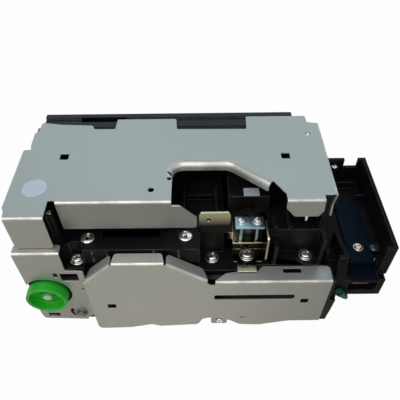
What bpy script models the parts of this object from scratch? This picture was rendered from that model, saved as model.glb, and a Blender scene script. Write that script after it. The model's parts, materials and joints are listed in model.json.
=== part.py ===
"""A motorised card reader, built as an assembly of separate pieces.

Sizes are in millimetres and are turned into metres when a mesh is made. X runs along the
card path towards the mouth, Y runs from the drive side to the back, Z is up. The origin is
under the middle of the reader, on the surface that it stands on.
"""
from math import atan2, cos, hypot, pi, radians, sin, sqrt, tan

import bmesh
import bpy
from mathutils import Vector

MM = 0.001

# Driving dimensions
GAP = 0.3
SHEET = 1.0
BEND = 1.6
BEND_STEPS = 3
SIDES = 16

COVER_TOP = 106.5
COVER_LEFT = -107.1
COVER_RIGHT = 69.8
COVER_FOLD = -28.25
TAB_FOLD = -38.9
GUARD_FACE = -44.55
PLATE_FACE = -42.65
GUARD_LEFT = -72.7
GUARD_RIGHT = 73.2
REAR_FACE = 48.75
MOUTH_FACE = 108.3

FRAME_LEFT = -104.0
FRAME_RIGHT = 68.0
FRAME_FRONT = -31.5
FRAME_BACK = 37.0
WALL = 2.5
DECK_TOP = 75.5
LEDGE_TOP = 64.5
LEDGE_LEFT = -72.0
LEDGE_RIGHT = -4.4
# floor, front edge and rear wall of the solenoid bay, an open step beside the ledge
BAY_FLOOR = 55.0
BAY_FRONT = -32.9
BAY_WALL = -22.5
BAY_RIGHT = 66.0

CARD_WIDTH = 54.0
CARD_MIDDLE = 2.5
AXLE_HEIGHT = 42.3
DRIVE_RADIUS = 6.0
SHAFT_RADIUS = 2.0
SLEEVE_RADIUS = 3.2
PINCH_RADIUS = 4.5
PINCH_HEIGHT = AXLE_HEIGHT + DRIVE_RADIUS + GAP + PINCH_RADIUS
ROLLER_OFFSET = 14.0
ROLLER_WIDTH = 12.0
AXLES = {"rear": -96.1, "middle": -24.0, "front": 48.0}

GEAR_TEETH = 36
PINION_TEETH = 14
MODULE = 1.0
GEAR_SPREAD = 0.5 * MODULE * (GEAR_TEETH + PINION_TEETH) + 0.1
MOTOR_DROP = 16.4
MOTOR_X = AXLES["middle"] + sqrt(GEAR_SPREAD ** 2 - MOTOR_DROP ** 2)
MOTOR_Z = AXLE_HEIGHT - MOTOR_DROP
GEAR_FRONT = -35.9
GEAR_BACK = -32.2
PULLEY_FRONT = -40.9
PULLEY_BACK = -36.3
BELT_INNER = 7.9
BELT_OUTER = 9.1

# Colour, roughness and metallic value of each finish
FINISHES = {
    "zinc": ((0.55, 0.58, 0.60), 0.42, 0.9),
    "yellow_zinc": ((0.62, 0.60, 0.38), 0.35, 0.9),
    "steel": ((0.62, 0.62, 0.63), 0.28, 1.0),
    "brass": ((0.72, 0.56, 0.28), 0.35, 1.0),
    "black_plastic": ((0.016, 0.017, 0.019), 0.5, 0.0),
    "grey_plastic": ((0.10, 0.10, 0.11), 0.5, 0.0),
    "green_plastic": ((0.03, 0.42, 0.04), 0.4, 0.0),
    "white_plastic": ((0.78, 0.75, 0.66), 0.45, 0.0),
    "rubber": ((0.02, 0.02, 0.02), 0.8, 0.0),
    "board": ((0.012, 0.03, 0.06), 0.4, 0.0),
    "copper": ((0.55, 0.24, 0.11), 0.35, 0.6),
}


def clear_scene():
    for obj in list(bpy.data.objects):
        bpy.data.objects.remove(obj)


def finish_material(name, finish):
    colour, roughness, metallic = FINISHES[finish]
    material = bpy.data.materials.new(name)
    material.use_nodes = True
    shader = material.node_tree.nodes["Principled BSDF"]
    shader.inputs["Base Color"].default_value = (*colour, 1.0)
    shader.inputs["Roughness"].default_value = roughness
    shader.inputs["Metallic"].default_value = metallic
    return material


def shape_from(bm, name="shape"):
    bmesh.ops.scale(bm, vec=(MM, MM, MM), verts=bm.verts)
    mesh = bpy.data.meshes.new(name)
    bm.to_mesh(mesh)
    bm.free()
    obj = bpy.data.objects.new(name, mesh)
    bpy.context.collection.objects.link(obj)
    return obj


def baked(obj, helpers=()):
    """Replace an object's mesh by its evaluated one and drop its helpers."""
    depsgraph = bpy.context.evaluated_depsgraph_get()
    mesh = bpy.data.meshes.new_from_object(obj.evaluated_get(depsgraph))
    obj.modifiers.clear()
    obj.data = mesh
    for helper in helpers:
        bpy.data.objects.remove(helper)
    return obj


def boolean(base, tools, operation):
    for tool in tools:
        modifier = base.modifiers.new(operation, "BOOLEAN")
        modifier.operation = operation
        modifier.solver = "EXACT"
        modifier.object = tool
    return baked(base, tools)


def fused(base, *additions):
    return boolean(base, additions, "UNION")


def cut(base, *tools):
    return boolean(base, tools, "DIFFERENCE")


def sub_part(name, finish, shape, pivot=(0, 0, 0), smooth=False):
    """Make the shape a named piece whose origin is its pivot."""
    bm = bmesh.new()
    bm.from_mesh(shape.data)
    bpy.data.objects.remove(shape)
    bmesh.ops.remove_doubles(bm, verts=bm.verts, dist=1e-7)
    origin = Vector(pivot) * MM
    bmesh.ops.translate(bm, vec=-origin, verts=bm.verts)
    mesh = bpy.data.meshes.new(name)
    bm.to_mesh(mesh)
    bm.free()
    obj = bpy.data.objects.new(name, mesh)
    obj.location = origin
    bpy.context.collection.objects.link(obj)
    mesh.materials.append(finish_material(name + "_finish", finish))
    if smooth:
        mesh.shade_smooth()
        mesh.set_sharp_from_angle(angle=radians(35))
    return obj


def axis_point(axis, u, v, w):
    """Place in-plane values u, v and the height w along an axis."""
    return {"X": (w, u, v), "Y": (u, w, v), "Z": (u, v, w)}[axis]


def prism(axis, outline, low, high):
    bm = bmesh.new()
    ring = [bm.verts.new(axis_point(axis, u, v, low)) for u, v in outline]
    face = bm.faces.new(ring)
    top = bmesh.ops.extrude_face_region(bm, geom=[face])["geom"]
    moved = [item for item in top if isinstance(item, bmesh.types.BMVert)]
    bmesh.ops.translate(bm, vec=axis_point(axis, 0, 0, high - low), verts=moved)
    bmesh.ops.recalc_face_normals(bm, faces=bm.faces)
    return shape_from(bm)


def block(x, y, z):
    outline = [(x[0], y[0]), (x[1], y[0]), (x[1], y[1]), (x[0], y[1])]
    return prism("Z", outline, z[0], z[1])


def arc(centre, radius, start, end, steps):
    points = []
    for step in range(steps + 1):
        angle = radians(start + (end - start) * step / steps)
        points.append((centre[0] + radius * cos(angle), centre[1] + radius * sin(angle)))
    return points


def rod(axis, centre, radius, low, high, sides=SIDES):
    return prism(axis, arc(centre, radius, 0, 360 - 360 / sides, sides - 1), low, high)


def rounded(u, v, radius, steps=3):
    """A rectangle with round corners, as an outline."""
    corners = [(u[1], v[1], 0), (u[0], v[1], 90), (u[0], v[0], 180), (u[1], v[0], 270)]
    points = []
    for corner_u, corner_v, start in corners:
        centre_u = corner_u - radius if corner_u == u[1] else corner_u + radius
        centre_v = corner_v - radius if corner_v == v[1] else corner_v + radius
        points += arc((centre_u, centre_v), radius, start, start + 90, steps)
    return points


def turned(axis, centre, profile, sides=SIDES):
    """Spin a profile of (height, radius) about an axis, from one end to the other."""
    bm = bmesh.new()
    rings = []
    for height, radius in profile:
        if radius == 0:
            rings.append([bm.verts.new(axis_point(axis, centre[0], centre[1], height))])
            continue
        circle = arc(centre, radius, 0, 360 - 360 / sides, sides - 1)
        rings.append([bm.verts.new(axis_point(axis, u, v, height)) for u, v in circle])
    closed = profile[0][1] > 0
    pairs = list(zip(rings, rings[1:]))
    if closed:
        pairs.append((rings[-1], rings[0]))
    for first, second in pairs:
        for side in range(sides):
            after = (side + 1) % sides
            corners = [first[side % len(first)], first[after % len(first)],
                       second[after % len(second)], second[side % len(second)]]
            unique = list(dict.fromkeys(corners))
            bm.faces.new(unique)
    bmesh.ops.recalc_face_normals(bm, faces=bm.faces)
    return shape_from(bm)


def folded_sheet(place, outline, flanges):
    """A flat face with flanges turned back from its edges, given the sheet's thickness.

    place(u, v, w) gives the point at in-plane u, v and w behind the face. A flange is keyed by
    the index of its fold's first outline point, and holds (along fold, behind face) points.
    """
    bm = bmesh.new()
    count = len(outline)
    pulled = [Vector(point) for point in outline]
    folds = {}
    for first in flanges:
        start = Vector(outline[first])
        end = Vector(outline[(first + 1) % count])
        along = (end - start).normalized()
        inward = Vector((-along.y, along.x))
        folds[first] = (start, end, along, inward)
        pulled[first] = start + inward * BEND
        pulled[(first + 1) % count] = end + inward * BEND
    face = [bm.verts.new(place(point.x, point.y, 0)) for point in pulled]
    bm.faces.new(face)
    for first, (start, end, along, inward) in folds.items():
        near = face[first]
        far = face[(first + 1) % count]
        for step in range(1, BEND_STEPS + 1):
            angle = 0.5 * pi * step / BEND_STEPS
            pull = inward * (BEND * (1 - sin(angle)))
            depth = BEND * (1 - cos(angle))
            a = start + pull
            b = end + pull
            near_next = bm.verts.new(place(a.x, a.y, depth))
            far_next = bm.verts.new(place(b.x, b.y, depth))
            bm.faces.new([far, near, near_next, far_next])
            near, far = near_next, far_next
        rim = []
        for distance, depth in flanges[first]:
            point = start + along * distance
            rim.append(bm.verts.new(place(point.x, point.y, depth)))
        bm.faces.new([far, near] + rim)
    sheet = shape_from(bm)
    solidify = sheet.modifiers.new("wall", "SOLIDIFY")
    solidify.thickness = SHEET * MM
    solidify.offset = -1
    solidify.use_even_offset = True
    return baked(sheet)


def gear_outline(teeth, centre, first_angle):
    """Involute teeth with 20 degree pressure angle and a little backlash."""
    pitch = 0.5 * MODULE * teeth
    base = pitch * cos(radians(20))
    root = pitch - 1.25 * MODULE
    tip = pitch + 0.9 * MODULE
    backlash = 0.3 * MODULE
    at_pitch = tan(radians(20)) - radians(20)
    levels = [root, max(base, root + 0.05), pitch, tip]
    points = []
    for tooth in range(teeth):
        middle = first_angle + 2 * pi * tooth / teeth
        halves = []
        for radius in levels:
            roll = sqrt(max((radius / base) ** 2 - 1, 0))
            swing = roll - atan2(roll, 1)
            halves.append(0.5 * pi / teeth - 0.5 * backlash / pitch + at_pitch - swing)
        sides = [(r, middle - h) for r, h in zip(levels, halves)]
        sides += [(r, middle + h) for r, h in reversed(list(zip(levels, halves)))]
        for radius, angle in sides:
            points.append((centre[0] + radius * cos(angle), centre[1] + radius * sin(angle)))
    return points


def pan_screw(axis, centre, seat, head=4.0, shank=1.5, length=6.0, outward=1):
    """A cross-head screw: shank behind its seat, domed head in front of it."""
    steps = [(-length, 0), (-length, shank), (GAP, shank), (GAP, head), (GAP + 0.4 * head, head),
             (GAP + 0.58 * head, 0.72 * head), (GAP + 0.62 * head, 0)]
    profile = [(seat + outward * height, radius) for height, radius in steps]
    return turned(axis, centre, profile, 10)


def screw_hole(axis, centre, seat, length=6.0, shank=1.5, outward=1):
    ends = sorted((seat - outward * (length + 1), seat + outward * 1))
    return rod(axis, centre, shank + GAP, ends[0], ends[1], 8)


# Screws on the black ledges, as x, y and seat height
LEDGE_SCREWS = [(-68.4, -28.0, DECK_TOP), (-12.5, -27.2, DECK_TOP), (-75.5, -34.4, LEDGE_TOP),
                (2.8, -27.3, BAY_FLOOR), (59.0, -27.3, BAY_FLOOR + 1.5)]
YOKE_SCREW = (23.8, -27.0)
YOKE_BOSS_TOP = BAY_FLOOR + 0.3


def screw_length(seat):
    """Length under the head: short in the thin floor of the solenoid bay."""
    return 6.0 if seat > BAY_FLOOR + 5 else seat - BAY_FLOOR + 1.6
TOP_PLATE_SCREWS = [(19.3, -23.4), (28.4, -23.2)]
MOUTH_SCREWS = [(92.4, -21.5), (79.5, 34.5)]
PLATE_SCREW = (-80.5, 19.0)


def make_base_plate():
    plate = prism("Z", rounded((FRAME_LEFT, FRAME_RIGHT), (-36, FRAME_BACK), 4), 0, 1.2)
    holes = []
    for x in (FRAME_LEFT + 9, FRAME_RIGHT - 9):
        for y in (-27, FRAME_BACK - 9):
            holes.append(rod("Z", (x, y), 2.25, -1, 3, 16))
    sub_part("base_plate", "zinc", cut(plate, *holes))


def make_lower_frame():
    floor_z = 1.5
    frame = block((FRAME_LEFT, FRAME_RIGHT), (FRAME_FRONT, FRAME_BACK), (floor_z, 52.3))
    hollow = block((FRAME_LEFT + WALL, FRAME_RIGHT - WALL),
                   (FRAME_FRONT + WALL, FRAME_BACK - WALL), (floor_z + WALL, 60))
    ends = block((FRAME_LEFT - 5, FRAME_RIGHT + 5),
                 (FRAME_FRONT + WALL, FRAME_BACK - WALL), (46.2, 60))
    frame = cut(frame, hollow, ends)
    guard_pillar = block((62, 75.5), (-43.2, FRAME_FRONT + 1), (8.5, 52.3))
    end_block = block((FRAME_RIGHT - 1, 75.5), (FRAME_FRONT, -12), (8.5, 44))
    plate_pillar = block((-85, -77.5), (-41.3, FRAME_FRONT + 1), (12, 30))
    corner_pillar = block((FRAME_LEFT, -93.5), (-41.3, FRAME_FRONT + 1), (12.4, 22))
    cheek = prism("Y", [(64, 7), (77.3, 7), (78.6, 20), (79.4, 31), (64, 31)], -43.2, -41.2)
    frame = fused(frame, guard_pillar, end_block, plate_pillar, corner_pillar, cheek)
    holes = []
    for x in AXLES.values():
        holes.append(rod("Y", (x, AXLE_HEIGHT), 5, -34, 40))
    holes.append(rod("Y", (MOTOR_X, MOTOR_Z), 4.5, -34, -27))
    holes.append(screw_hole("Y", PLATE_SCREW, PLATE_FACE, outward=-1))
    roller_bay = block((FRAME_LEFT - 5, FRAME_LEFT + WALL + 1), (CARD_MIDDLE - 22, CARD_MIDDLE + 22),
                       (AXLE_HEIGHT - DRIVE_RADIUS - 1, 50))
    sub_part("lower_frame", "black_plastic", cut(frame, roller_bay, *holes))


def make_axles():
    for name, x in AXLES.items():
        centre = (x, AXLE_HEIGHT)
        pivot = (x, CARD_MIDDLE, AXLE_HEIGHT)
        front = PULLEY_FRONT - 0.6
        profile = [(front, 0), (front, SHAFT_RADIUS), (36.6, SHAFT_RADIUS), (36.6, 0)]
        if name == "rear":
            profile = [(-46.4, 0), (-46.4, 2.1), (-46.0, 2.5), (-42.4, 2.5), (-42.4, SHAFT_RADIUS),
                       (36.6, SHAFT_RADIUS), (36.6, 0)]
        finish = "white_plastic" if name == "rear" else "steel"
        sub_part(name + "_shaft", finish, turned("Y", centre, profile), pivot, True)
        bore = SHAFT_RADIUS + GAP
        inner = ROLLER_OFFSET - ROLLER_WIDTH / 2
        outer = ROLLER_OFFSET + ROLLER_WIDTH / 2
        steps = [(-outer, bore), (-outer, DRIVE_RADIUS), (-inner, DRIVE_RADIUS), (-inner, SLEEVE_RADIUS),
                 (inner, SLEEVE_RADIUS), (inner, DRIVE_RADIUS), (outer, DRIVE_RADIUS), (outer, bore)]
        sleeve = [(CARD_MIDDLE + y, radius) for y, radius in steps]
        sub_part(name + "_rollers", "rubber", turned("Y", centre, sleeve), pivot, True)
        rim = [(PULLEY_FRONT, bore), (PULLEY_FRONT, 9), (PULLEY_FRONT + 0.6, 9),
               (PULLEY_FRONT + 0.6, 7.6), (PULLEY_BACK - 0.6, 7.6), (PULLEY_BACK - 0.6, 9),
               (PULLEY_BACK, 9), (PULLEY_BACK, bore)]
        sub_part(name + "_pulley", "grey_plastic", turned("Y", centre, rim), pivot, True)
    for name, low in (("front", FRAME_FRONT + WALL + GAP), ("rear", FRAME_BACK - WALL - GAP - 1.5)):
        rail = block((FRAME_LEFT + WALL + 1, FRAME_RIGHT - WALL - 1), (low, low + 1.5), (38.4, 46.0))
        bores = [rod("Y", (x, AXLE_HEIGHT), 2.35, low - 2, low + 4) for x in AXLES.values()]
        sub_part(name + "_bearing_rail", "brass", cut(rail, *bores))


def belt_outline(radius):
    low = (AXLES["rear"], AXLE_HEIGHT)
    high = (AXLES["front"], AXLE_HEIGHT)
    return arc(low, radius, 90, 270, 12) + arc(high, radius, -90, 90, 12)


def make_drive():
    belt = prism("Y", belt_outline(BELT_OUTER), PULLEY_FRONT + 0.9, PULLEY_BACK - 0.9)
    inside = prism("Y", belt_outline(BELT_INNER), PULLEY_FRONT, PULLEY_BACK)
    sub_part("drive_belt", "rubber", cut(belt, inside))

    middle = (AXLES["middle"], AXLE_HEIGHT)
    motor = (MOTOR_X, MOTOR_Z)
    to_motor = atan2(MOTOR_Z - AXLE_HEIGHT, MOTOR_X - AXLES["middle"])
    gear = prism("Y", gear_outline(GEAR_TEETH, middle, to_motor + pi / GEAR_TEETH),
                 GEAR_FRONT, GEAR_BACK)
    gear = cut(gear, rod("Y", middle, SHAFT_RADIUS + GAP, GEAR_FRONT - 1, GEAR_BACK + 1))
    sub_part("drive_gear", "white_plastic", gear, (middle[0], GEAR_FRONT, middle[1]))
    pinion = prism("Y", gear_outline(PINION_TEETH, motor, to_motor + pi), GEAR_FRONT, GEAR_BACK)
    pinion = fused(pinion, rod("Y", motor, 1.2, GEAR_FRONT - 0.4, -20.0, 16))
    sub_part("motor_pinion", "brass", pinion, (motor[0], GEAR_FRONT, motor[1]))
    can = turned("Y", motor, [(-31.3, 0), (-31.3, 4.1), (-28.7, 4.1), (-28.7, 12), (12, 12),
                              (13.5, 10.5), (13.5, 4), (15.5, 4), (15.5, 0)])
    bore = rod("Y", motor, 1.6, -33, -18, 16)
    sub_part("motor", "steel", cut(can, bore), smooth=True)


def roller_windows(low, high, half, width):
    windows = []
    for x in AXLES.values():
        for side in (-1, 1):
            middle = CARD_MIDDLE + side * ROLLER_OFFSET
            windows.append(block((x - half, x + half), (middle - width / 2, middle + width / 2),
                                 (low, high)))
    return windows


CONTACT_X = (15.0, 33.0)
CONTACT_Y = (-8.0, 14.0)
HEAD_X = (14.0, 30.0)
HEAD_Y = (-20.0, -6.0)


def make_guides():
    inside = (FRAME_FRONT + WALL + GAP, FRAME_BACK - WALL - GAP)
    card = (CARD_MIDDLE - CARD_WIDTH / 2 - 0.5, CARD_MIDDLE + CARD_WIDTH / 2 + 0.5)
    long = (FRAME_LEFT, FRAME_RIGHT)
    lower = block(long, inside, (46.5, 49.3))
    track = block((FRAME_LEFT - 5, FRAME_RIGHT + 5), card, (48.1, 52))
    head = block((HEAD_X[0] - 1, HEAD_X[1] + 1), (HEAD_Y[0] - 1, HEAD_Y[1] + 1), (40, 52))
    windows = roller_windows(40, 52, 5.6, ROLLER_WIDTH + 1.6)
    sub_part("lower_guide", "black_plastic", cut(lower, track, head, *windows))
    upper = block(long, inside, (49.6, 51.2))
    contact = block((CONTACT_X[0] - 1, CONTACT_X[1] + 1), (CONTACT_Y[0] - 1, CONTACT_Y[1] + 1),
                    (48, 53))
    windows = roller_windows(48, 53, 5.4, ROLLER_WIDTH + 1.6)
    sub_part("upper_guide", "black_plastic", cut(upper, contact, *windows))


PINCH_LIFT = 1.0
CARRIER_TOP = 61.0


def make_pinch_rollers():
    leaves = []
    for name, x in AXLES.items():
        centre = (x, PINCH_HEIGHT)
        pivot = (x, CARD_MIDDLE, PINCH_HEIGHT)
        carrier = block((x - 5, x + 5), (CARD_MIDDLE - 21.3, CARD_MIDDLE + 21.3), (58.4, CARRIER_TOP))
        for offset in (-20.3, 0, 20.3):
            y = CARD_MIDDLE + offset
            carrier = fused(carrier, block((x - 2.5, x + 2.5), (y - 1, y + 1), (51.6, 59)))
        bore = rod("Y", centre, 1.4, CARD_MIDDLE - 30, CARD_MIDDLE + 30, 16)
        sub_part(name + "_pinch_carrier", "grey_plastic", cut(carrier, bore), pivot)
        profile = [(CARD_MIDDLE - 21.3, 0), (CARD_MIDDLE - 21.3, 1)]
        for side in (-1, 1):
            middle = CARD_MIDDLE + side * ROLLER_OFFSET
            for y, radius in ((-5, 1), (-5, PINCH_RADIUS), (5, PINCH_RADIUS), (5, 1)):
                profile.append((middle + y, radius))
        profile += [(CARD_MIDDLE + 21.3, 1), (CARD_MIDDLE + 21.3, 0)]
        sub_part(name + "_pinch_roller", "steel", turned("Y", centre, profile), pivot, True)
        top = CARRIER_TOP + PINCH_LIFT + 0.4
        leaf = [(34, 72.2), (27, 72.2), (10, top + 0.5), (0, top + 0.4), (0, top),
                (10.2, top), (27.2, 71.8), (34, 71.8)]
        leaves.append(prism("X", leaf, x - 3, x + 3))
    strip = block((AXLES["rear"] - 3, AXLES["front"] + 3), (30.6, 33.9), (71.8, 72.2))
    sub_part("pinch_spring", "steel", fused(strip, *leaves))


def make_upper_frame():
    low = 52.6
    right = FRAME_RIGHT
    frame = block((FRAME_LEFT, right), (FRAME_FRONT, FRAME_BACK), (low, DECK_TOP))
    under = block((FRAME_LEFT + WALL, right - WALL), (FRAME_FRONT + WALL, FRAME_BACK - WALL),
                  (low - 5, DECK_TOP - 3))
    frame = cut(frame, under)
    rear_wall = block((FRAME_LEFT, right), (FRAME_BACK - WALL, FRAME_BACK), (low + 10, 104.8))
    left_wall = block((FRAME_LEFT, FRAME_LEFT + WALL), (-24, FRAME_BACK), (low + 10, 104.8))
    right_wall = block((right - WALL, right), (-20, FRAME_BACK), (low + 10, 104.8))
    ledge = block((LEDGE_LEFT, LEDGE_RIGHT), (-36, FRAME_FRONT + 1), (63, DECK_TOP))
    low_left = block((-81, LEDGE_LEFT + 1), (-40.5, FRAME_FRONT + 1), (62, LEDGE_TOP))
    bay = block((LEDGE_RIGHT, BAY_RIGHT), (FRAME_FRONT - 1, BAY_WALL + 1), (low - 1, DECK_TOP + 1))
    frame = cut(frame, bay)
    bay_wall = block((LEDGE_RIGHT - 2, BAY_RIGHT + 1), (BAY_WALL, BAY_WALL + 2), (low, DECK_TOP))
    bay_end = block((LEDGE_RIGHT - 2, LEDGE_RIGHT), (FRAME_FRONT, BAY_WALL + 2), (low, DECK_TOP))
    bay_floor = block((LEDGE_RIGHT - 2, BAY_RIGHT + 1), (BAY_FRONT, BAY_WALL + 2), (low, BAY_FLOOR))
    bay_lip = block((LEDGE_RIGHT - 2, 28.5), (-36.5, BAY_FRONT + 1), (low, BAY_FLOOR))
    partition = block((38.8, 40.8), (BAY_FRONT + 0.4, BAY_WALL + 1), (BAY_FLOOR - 1, 71))
    partition_back = block((38.8, 40.8), (BAY_WALL, -14), (DECK_TOP - 1, 78))
    bosses = [rod("Z", YOKE_SCREW, 5.4, BAY_FLOOR - 1, YOKE_BOSS_TOP)]
    bosses.append(rod("Z", LEDGE_SCREWS[4][:2], 5.4, BAY_FLOOR - 1, BAY_FLOOR + 1.5))
    ribs = []
    for x in (-65.5, -57, -30.5, -16.5):
        ribs.append(block((x - 0.6, x + 0.6), (-36.5, -35), (LEDGE_TOP, DECK_TOP)))
    for x in (-14, 6):
        ribs.append(block((x - 0.8, x + 0.8), (-20, 8), (DECK_TOP - 1, 81)))
    ribs.append(block((-14, 6), (-14.8, -13.2), (DECK_TOP - 1, 79)))
    ribs.append(block((-14, 6), (2.2, 3.8), (DECK_TOP - 1, 79)))
    ribs.append(block((47.6, 49.2), (BAY_WALL, -8), (DECK_TOP - 1, 78)))
    posts = [rod("Z", point, 4, DECK_TOP - 1, 105.2) for point in ((-62, 12), (-14, 22), (54, 22))]
    posts.append(rod("Z", (-85.6, -27), 2.6, DECK_TOP - 1, 97.5))
    frame = fused(frame, rear_wall, left_wall, right_wall, ledge, low_left, bay_wall, bay_end,
                  bay_floor, bay_lip, partition, partition_back, *bosses, *ribs, *posts)
    pocket = block((-61, -22), (-26.6, -20), (DECK_TOP - 4, DECK_TOP + 5))
    solenoid_well = block((10, 36), (-30, 30), (DECK_TOP - 6, DECK_TOP + 5))
    leg_gate = block((10, 36), (BAY_WALL - 1, BAY_WALL + 5), (BAY_FLOOR, DECK_TOP + 5))
    arm_gate = block((20.4, 27.6), (-20.9, BAY_WALL + 5), (low - 1, BAY_FLOOR + 1))
    holes = [screw_hole("Z", (x, y), seat, screw_length(seat)) for x, y, seat in LEDGE_SCREWS]
    holes += [rod("Z", (x, y), 4.8, seat, seat + 20) for x, y, seat in LEDGE_SCREWS if seat < DECK_TOP]
    holes.append(screw_hole("Z", YOKE_SCREW, YOKE_BOSS_TOP, length=1.7))
    sub_part("upper_frame", "black_plastic", cut(frame, pocket, solenoid_well, leg_gate, arm_gate, *holes))


CONNECTOR_WINDOWS = [(-84, -52), (-42, -22), (-6, 26)]
CONNECTOR_Z = (12.0, 24.0)


def make_rear_cover():
    x = (-101, 54.5)
    cover = block(x, (FRAME_BACK + 0.4, REAR_FACE), (3, 105))
    rim = block(x, (44.8, REAR_FACE), (103.5, 106.4))
    cover = fused(cover, rim)
    hollow = block((x[0] + 2, x[1] - 2), (FRAME_BACK - 5, REAR_FACE - 2), (5, 103))
    windows = []
    for low, high in CONNECTOR_WINDOWS:
        windows.append(block((low - 0.5, high + 0.5), (40, 55),
                             (CONNECTOR_Z[0] - 0.5, CONNECTOR_Z[1] + 0.5)))
    slot = block((-78, -50), (42.5, 45.5), (100, 110))
    vents = []
    for index in range(8):
        vent_x = -60 + 9 * index
        vents.append(block((vent_x, vent_x + 4.5), (44, 55), (66, 88)))
    sub_part("rear_cover", "black_plastic", cut(cover, hollow, slot, *windows, *vents))


def make_board():
    face = 40.1
    board = block((-96, 49), (38.5, face), (8, 98))
    holes = [rod("Y", (x, z), 1.7, 38, 41, 12) for x in (-91, 44) for z in (30, 93)]
    chips = []
    for x, z, wide, tall in ((-70, 50, 16, 16), (-40, 44, 12, 12), (-10, 52, 20, 14), (26, 44, 10, 18)):
        chips.append(block((x, x + wide), (face - 0.5, face + 2.2), (z, z + tall)))
    sub_part("main_board", "board", fused(cut(board, *holes), *chips))
    header = block((CONNECTOR_WINDOWS[0][0] + 2, CONNECTOR_WINDOWS[-1][1] - 2),
                   (face + GAP, face + 1.6), (CONNECTOR_Z[0] + 3, CONNECTOR_Z[1] - 3))
    shells = []
    for low, high in CONNECTOR_WINDOWS:
        shell = block((low, high), (face + GAP, REAR_FACE - 0.4), CONNECTOR_Z)
        socket = block((low + 1.2, high - 1.2), (REAR_FACE - 6.5, REAR_FACE + 2),
                       (CONNECTOR_Z[0] + 1.2, CONNECTOR_Z[1] - 1.2))
        shells.append(cut(shell, socket))
    sub_part("board_connectors", "white_plastic", fused(header, *shells))


def make_top_cover():
    corner = arc((-13.4, -5.0), 5.8, 180, 90, 4)
    left = [(-101.6, 40.0), (-102.4, 31.2), (-104.1, 29.5), (-103.8, 17.9), (-102.7, 14.6),
            (COVER_LEFT, 14.3), (COVER_LEFT, -31), (-105.6, -34)]
    left_tab = [(-105.2, TAB_FOLD), (-84.3, TAB_FOLD)]
    notch = [(-84.3, -26.2), (-80.5, -26.2)]
    main_fold = [(-80.5, COVER_FOLD), (-19.2, COVER_FOLD)]
    slant = [(13.4, -0.4), (33.3, -16.3)]
    after_slant = [(35.0, -13.8), (37.2, -15.0), (40.4, -20.4), (42.0, -22.4)]
    right_tab = [(42.1, COVER_FOLD), (62.3, COVER_FOLD)]
    right_notch = [(62.3, -23.8), (66.5, -23.8)]
    right_fold = [(COVER_RIGHT, -23.5), (COVER_RIGHT, 36.9)]
    back = [(62.6, 37.8), (62.4, 44.2), (25.2, 44.2), (24.8, 31.8), (-17.7, 32.3), (-18.4, 42.5),
            (-55.1, 42.5), (-55.6, 33.0), (-68.3, 33.1), (-69.9, 36.7), (-89.5, 37.9)]
    outline = []
    starts = {}
    for name, points in (("left", left), ("left_tab", left_tab), ("notch", notch),
                         ("main", main_fold), ("corner", corner), ("window", [(11.8, 0.8)]),
                         ("slant", slant), ("after", after_slant), ("right_tab", right_tab),
                         ("right_notch", right_notch), ("right", right_fold), ("back", back)):
        starts[name] = len(outline)
        outline += points
    window_start = starts["window"] - 1
    slant_length = hypot(slant[1][0] - slant[0][0], slant[1][1] - slant[0][1])
    flanges = {
        starts["left_tab"]: [(0, 24.9), (20.9, 24.9)],
        starts["main"]: [(0.3, 21.5), (74.5, 21.5), (74.7, 13.1), (65.6, 3.5), (61.3, 3.5)],
        window_start: [(0, 6), (25.2, 6)],
        starts["slant"]: [(0, 6), (slant_length, 6)],
        starts["right_tab"]: [(0, 6.3), (5.2, 13), (18.3, 13), (20.6, 8.8)],
        starts["right"]: [(2.5, 11.7), (1.1, 20.5), (60.4, 20.5)],
    }
    sheet = folded_sheet(lambda u, v, w: (u, v, COVER_TOP - w), outline, flanges)
    holes = []
    for x, y in ((-82.0, 8.1), (45.4, 7.1)):
        holes.append(block((x - 2.5, x + 2.5), (y - 2.5, y + 2.5), (100, 110)))
    for x, y, radius in ((-30.3, -19.2, 1.7), (61.5, 26.6, 1.6), (-20.8, -10.7, 1.3)):
        holes.append(rod("Z", (x, y), radius, 100, 110, 12))
    sub_part("top_cover", "zinc", cut(sheet, *holes))


def make_knob_plate():
    outline = [(-105.9, 11.6), (-78.2, 9.7), (-75.6, 14.4), (-71.5, 15), (-71.5, 64.0), (-81.4, 65.0),
               (-81.4, 81.2), (-107.4, 81.2), (-106.9, 17.4)]
    sheet = folded_sheet(lambda u, v, w: (u, PLATE_FACE + w, v), outline,
                         {6: [(0, 6.5), (26.0, 6.5)]})
    y = (PLATE_FACE - 3, PLATE_FACE + 3)
    holes = [rod("Y", (AXLES["rear"], AXLE_HEIGHT), 14, *y, 32)]
    for x, z in (((-85.3, -75), (54.5, 62.1)), ((-89.2, -86.6), (58, 62.6)), ((-102.5, -95), (13.2, 18))):
        holes.append(block(x, y, z))
    holes.append(rod("Y", PLATE_SCREW, 1.9, *y, 12))
    holes.append(rod("Y", (-74.5, 45.7), 1.0, *y, 12))
    sub_part("knob_plate", "zinc", cut(sheet, *holes))


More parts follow.
